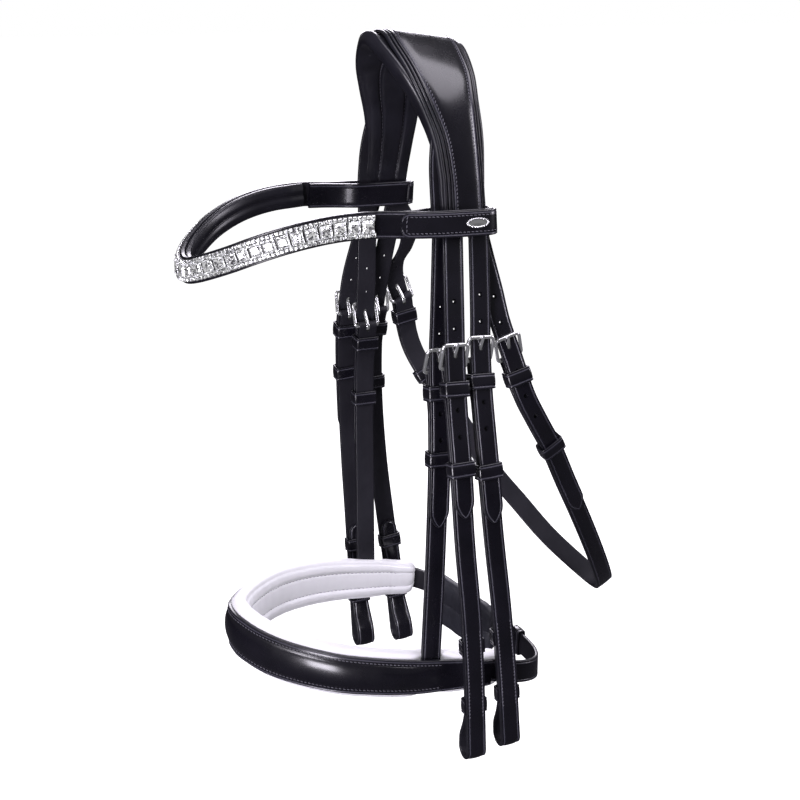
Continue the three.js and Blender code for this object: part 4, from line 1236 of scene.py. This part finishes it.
def noseband():
    """The leather: flat along its edges and swelling to a raised middle over the nose."""
    line, tall = nose_line(NOSE_POINTS)
    marks = np.linspace(0, line.length, 190)
    path = line_path(line, marks, -NOSEBAND_LEATHER / 2)
    edge = 3.9  # width of the flat part
    rings = []
    rows = {"upper": [], "lower": []}
    spans = []
    for i, s in enumerate(marks):
        inside = min(s, line.length - s)
        swell = float(np.clip((inside - 30) / 30, 0, 1))
        swell = swell * swell * (3 - 2 * swell)
        half = tall(s) / 2
        flat = (half - edge) / (half - 1.72)
        tops = tuple(flat * share for share in (1.0, 0.97, 0.9, 0.78, 0.6, 0.35))
        section, kinds = strap_section(half, NOSEBAND_LEATHER - 0.6, 0, 1.3, 0.2, tops)
        inner = np.clip(1 - (np.abs(section[:, 0]) / (half - edge)) ** 2, 0, 1)
        section[:, 1] += np.where(section[:, 1] > 0, 2.3 * swell * inner**0.7, 0) + 0.3
        rings.append(path.ring(i, section))
        if inside > 34:
            spans.append(i)
            rows["upper"].append(path.spot(i, 3.0 - half, NOSEBAND_LEATHER / 2 + 0.08))
            rows["lower"].append(path.spot(i, half - 3.0, NOSEBAND_LEATHER / 2 + 0.08))
    obj = loft("noseband_outer", rings, LEATHER_SET, kinds, sharp=60)
    settle(obj, "noseband", "bridle_leather", "noseband_leather")
    along, out = path.along[spans], path.out[spans]
    for name, run in rows.items():
        stitches(f"noseband_stitches_{name}", "noseband", run, along, out, 2.5, 1.85, 0.3)


def noseband_padding():
    line, tall = nose_line([PADDING_TAIL] + NOSE_POINTS[1:])
    hangers = (
        line.find("y", HANGER_ENDS["near"]), line.length - line.find("y", HANGER_ENDS["off"]))
    marks = np.linspace(0, line.length, 190)
    path = line_path(line, marks, 0)
    rings = []
    seams = {share: [] for share in CHANNELS}
    used = []
    for i, s in enumerate(marks):
        inside = min(s, line.length - s)
        close = quarter(inside / 9)
        dent = 3.5 * sum(math.exp(-(((s - h) / 11.5) ** 4)) for h in hangers)
        tall_here = tall(s) + PADDING_RISE * (0.35 + 0.65 * close)
        half = tall_here / 2 * (0.8 + 0.2 * close)
        thick = 3.0 + 7.2 * close
        pucker = 0.16 * math.sin(s * 0.55) + 0.12 * math.sin(s * 1.27 + 1)
        section = pad_loop(
            -half, half, -3.95 - dent, thick - dent + pucker * close,
            2.4 + 0.8 * close - 0.25 * dent,
        )
        rings.append(path.ring(i, section * (-1, 1)))
        if inside > 14:
            used.append(i)
            for share, run in seams.items():
                run.append(path.spot(i, half * (1 - 2 * share), -3.95 - thick + 0.75))
    padding("noseband_pad", rings, WHITE, "noseband", "white_padding", "noseband_padding")
    for share, run in seams.items():
        stitches(
            f"noseband_pad_seam_{int(share * 10)}", "noseband", run, path.along[used],
            -path.out[used], 3.0, 2.2, 0.26, "white_padding",
        )


noseband()
noseband_padding()

CHIN_WIDTH = 15.0
CHIN_POINTS = rolled([
    [72.4, 12, -374.4], [72.6, 26, -375.4], [73.6, 40, -378.6], [71.6, 53, -381.4],
    [66, 62.4, -383.4], [56, 67.4, -384.4], [40, 69.4, -385], [20, 68, -384.8],
    [0, 63.6, -383.4], [-20, 58, -382],
    [-40, 52.6, -380.4], [-54, 48.6, -379.4], [-64, 44.6, -378.4], [-71, 38.4, -377.4],
    [-74.4, 29, -375.4], [-74.8, 18, -374.4], [-74.8, 12, -374.4],
])


def chin():
    """The rear strap with its buckle, and the soft pad under it."""
    line = Line(CHIN_POINTS, (0, 0, 1))
    heel, tip, slide, start, end = (line.find("x", x) for x in (-22, -60, 27, 12, -58))
    billet("chin", line, heel, tip, "noseband", 0.0, CHIN_WIDTH)
    points, thick, across = fold(line, heel, np.arange(heel + 36, line.length, 2.4))
    path = Path(points, across)
    folded_strap("chin", path, CHIN_WIDTH, thick, 0.0, [(line, heel)], "noseband")
    fittings(
        "chin", line, heel, slide, "noseband", "chin_strap", SEWN_LOW, CHIN_WIDTH,
        "chin_keeper", -0.4,
    )
    marks = np.linspace(start, end, 44)
    path = line_path(line, marks, -6.9)
    rings = []
    for i, s in enumerate(marks):
        close = quarter(min(s - start, end - s) / 10)
        half = 12 + 6 * close
        thick = 2.6 + 3.2 * close + 0.3 * math.sin(s * 0.45) * close
        rings.append(path.ring(i, pad_loop(-half, half, 0.0, thick, 2.2, (0.5,), 0.5)))
    padding("chin_soft_pad", rings, GREY, "noseband", "grey_padding", "chin_pad")


chin()
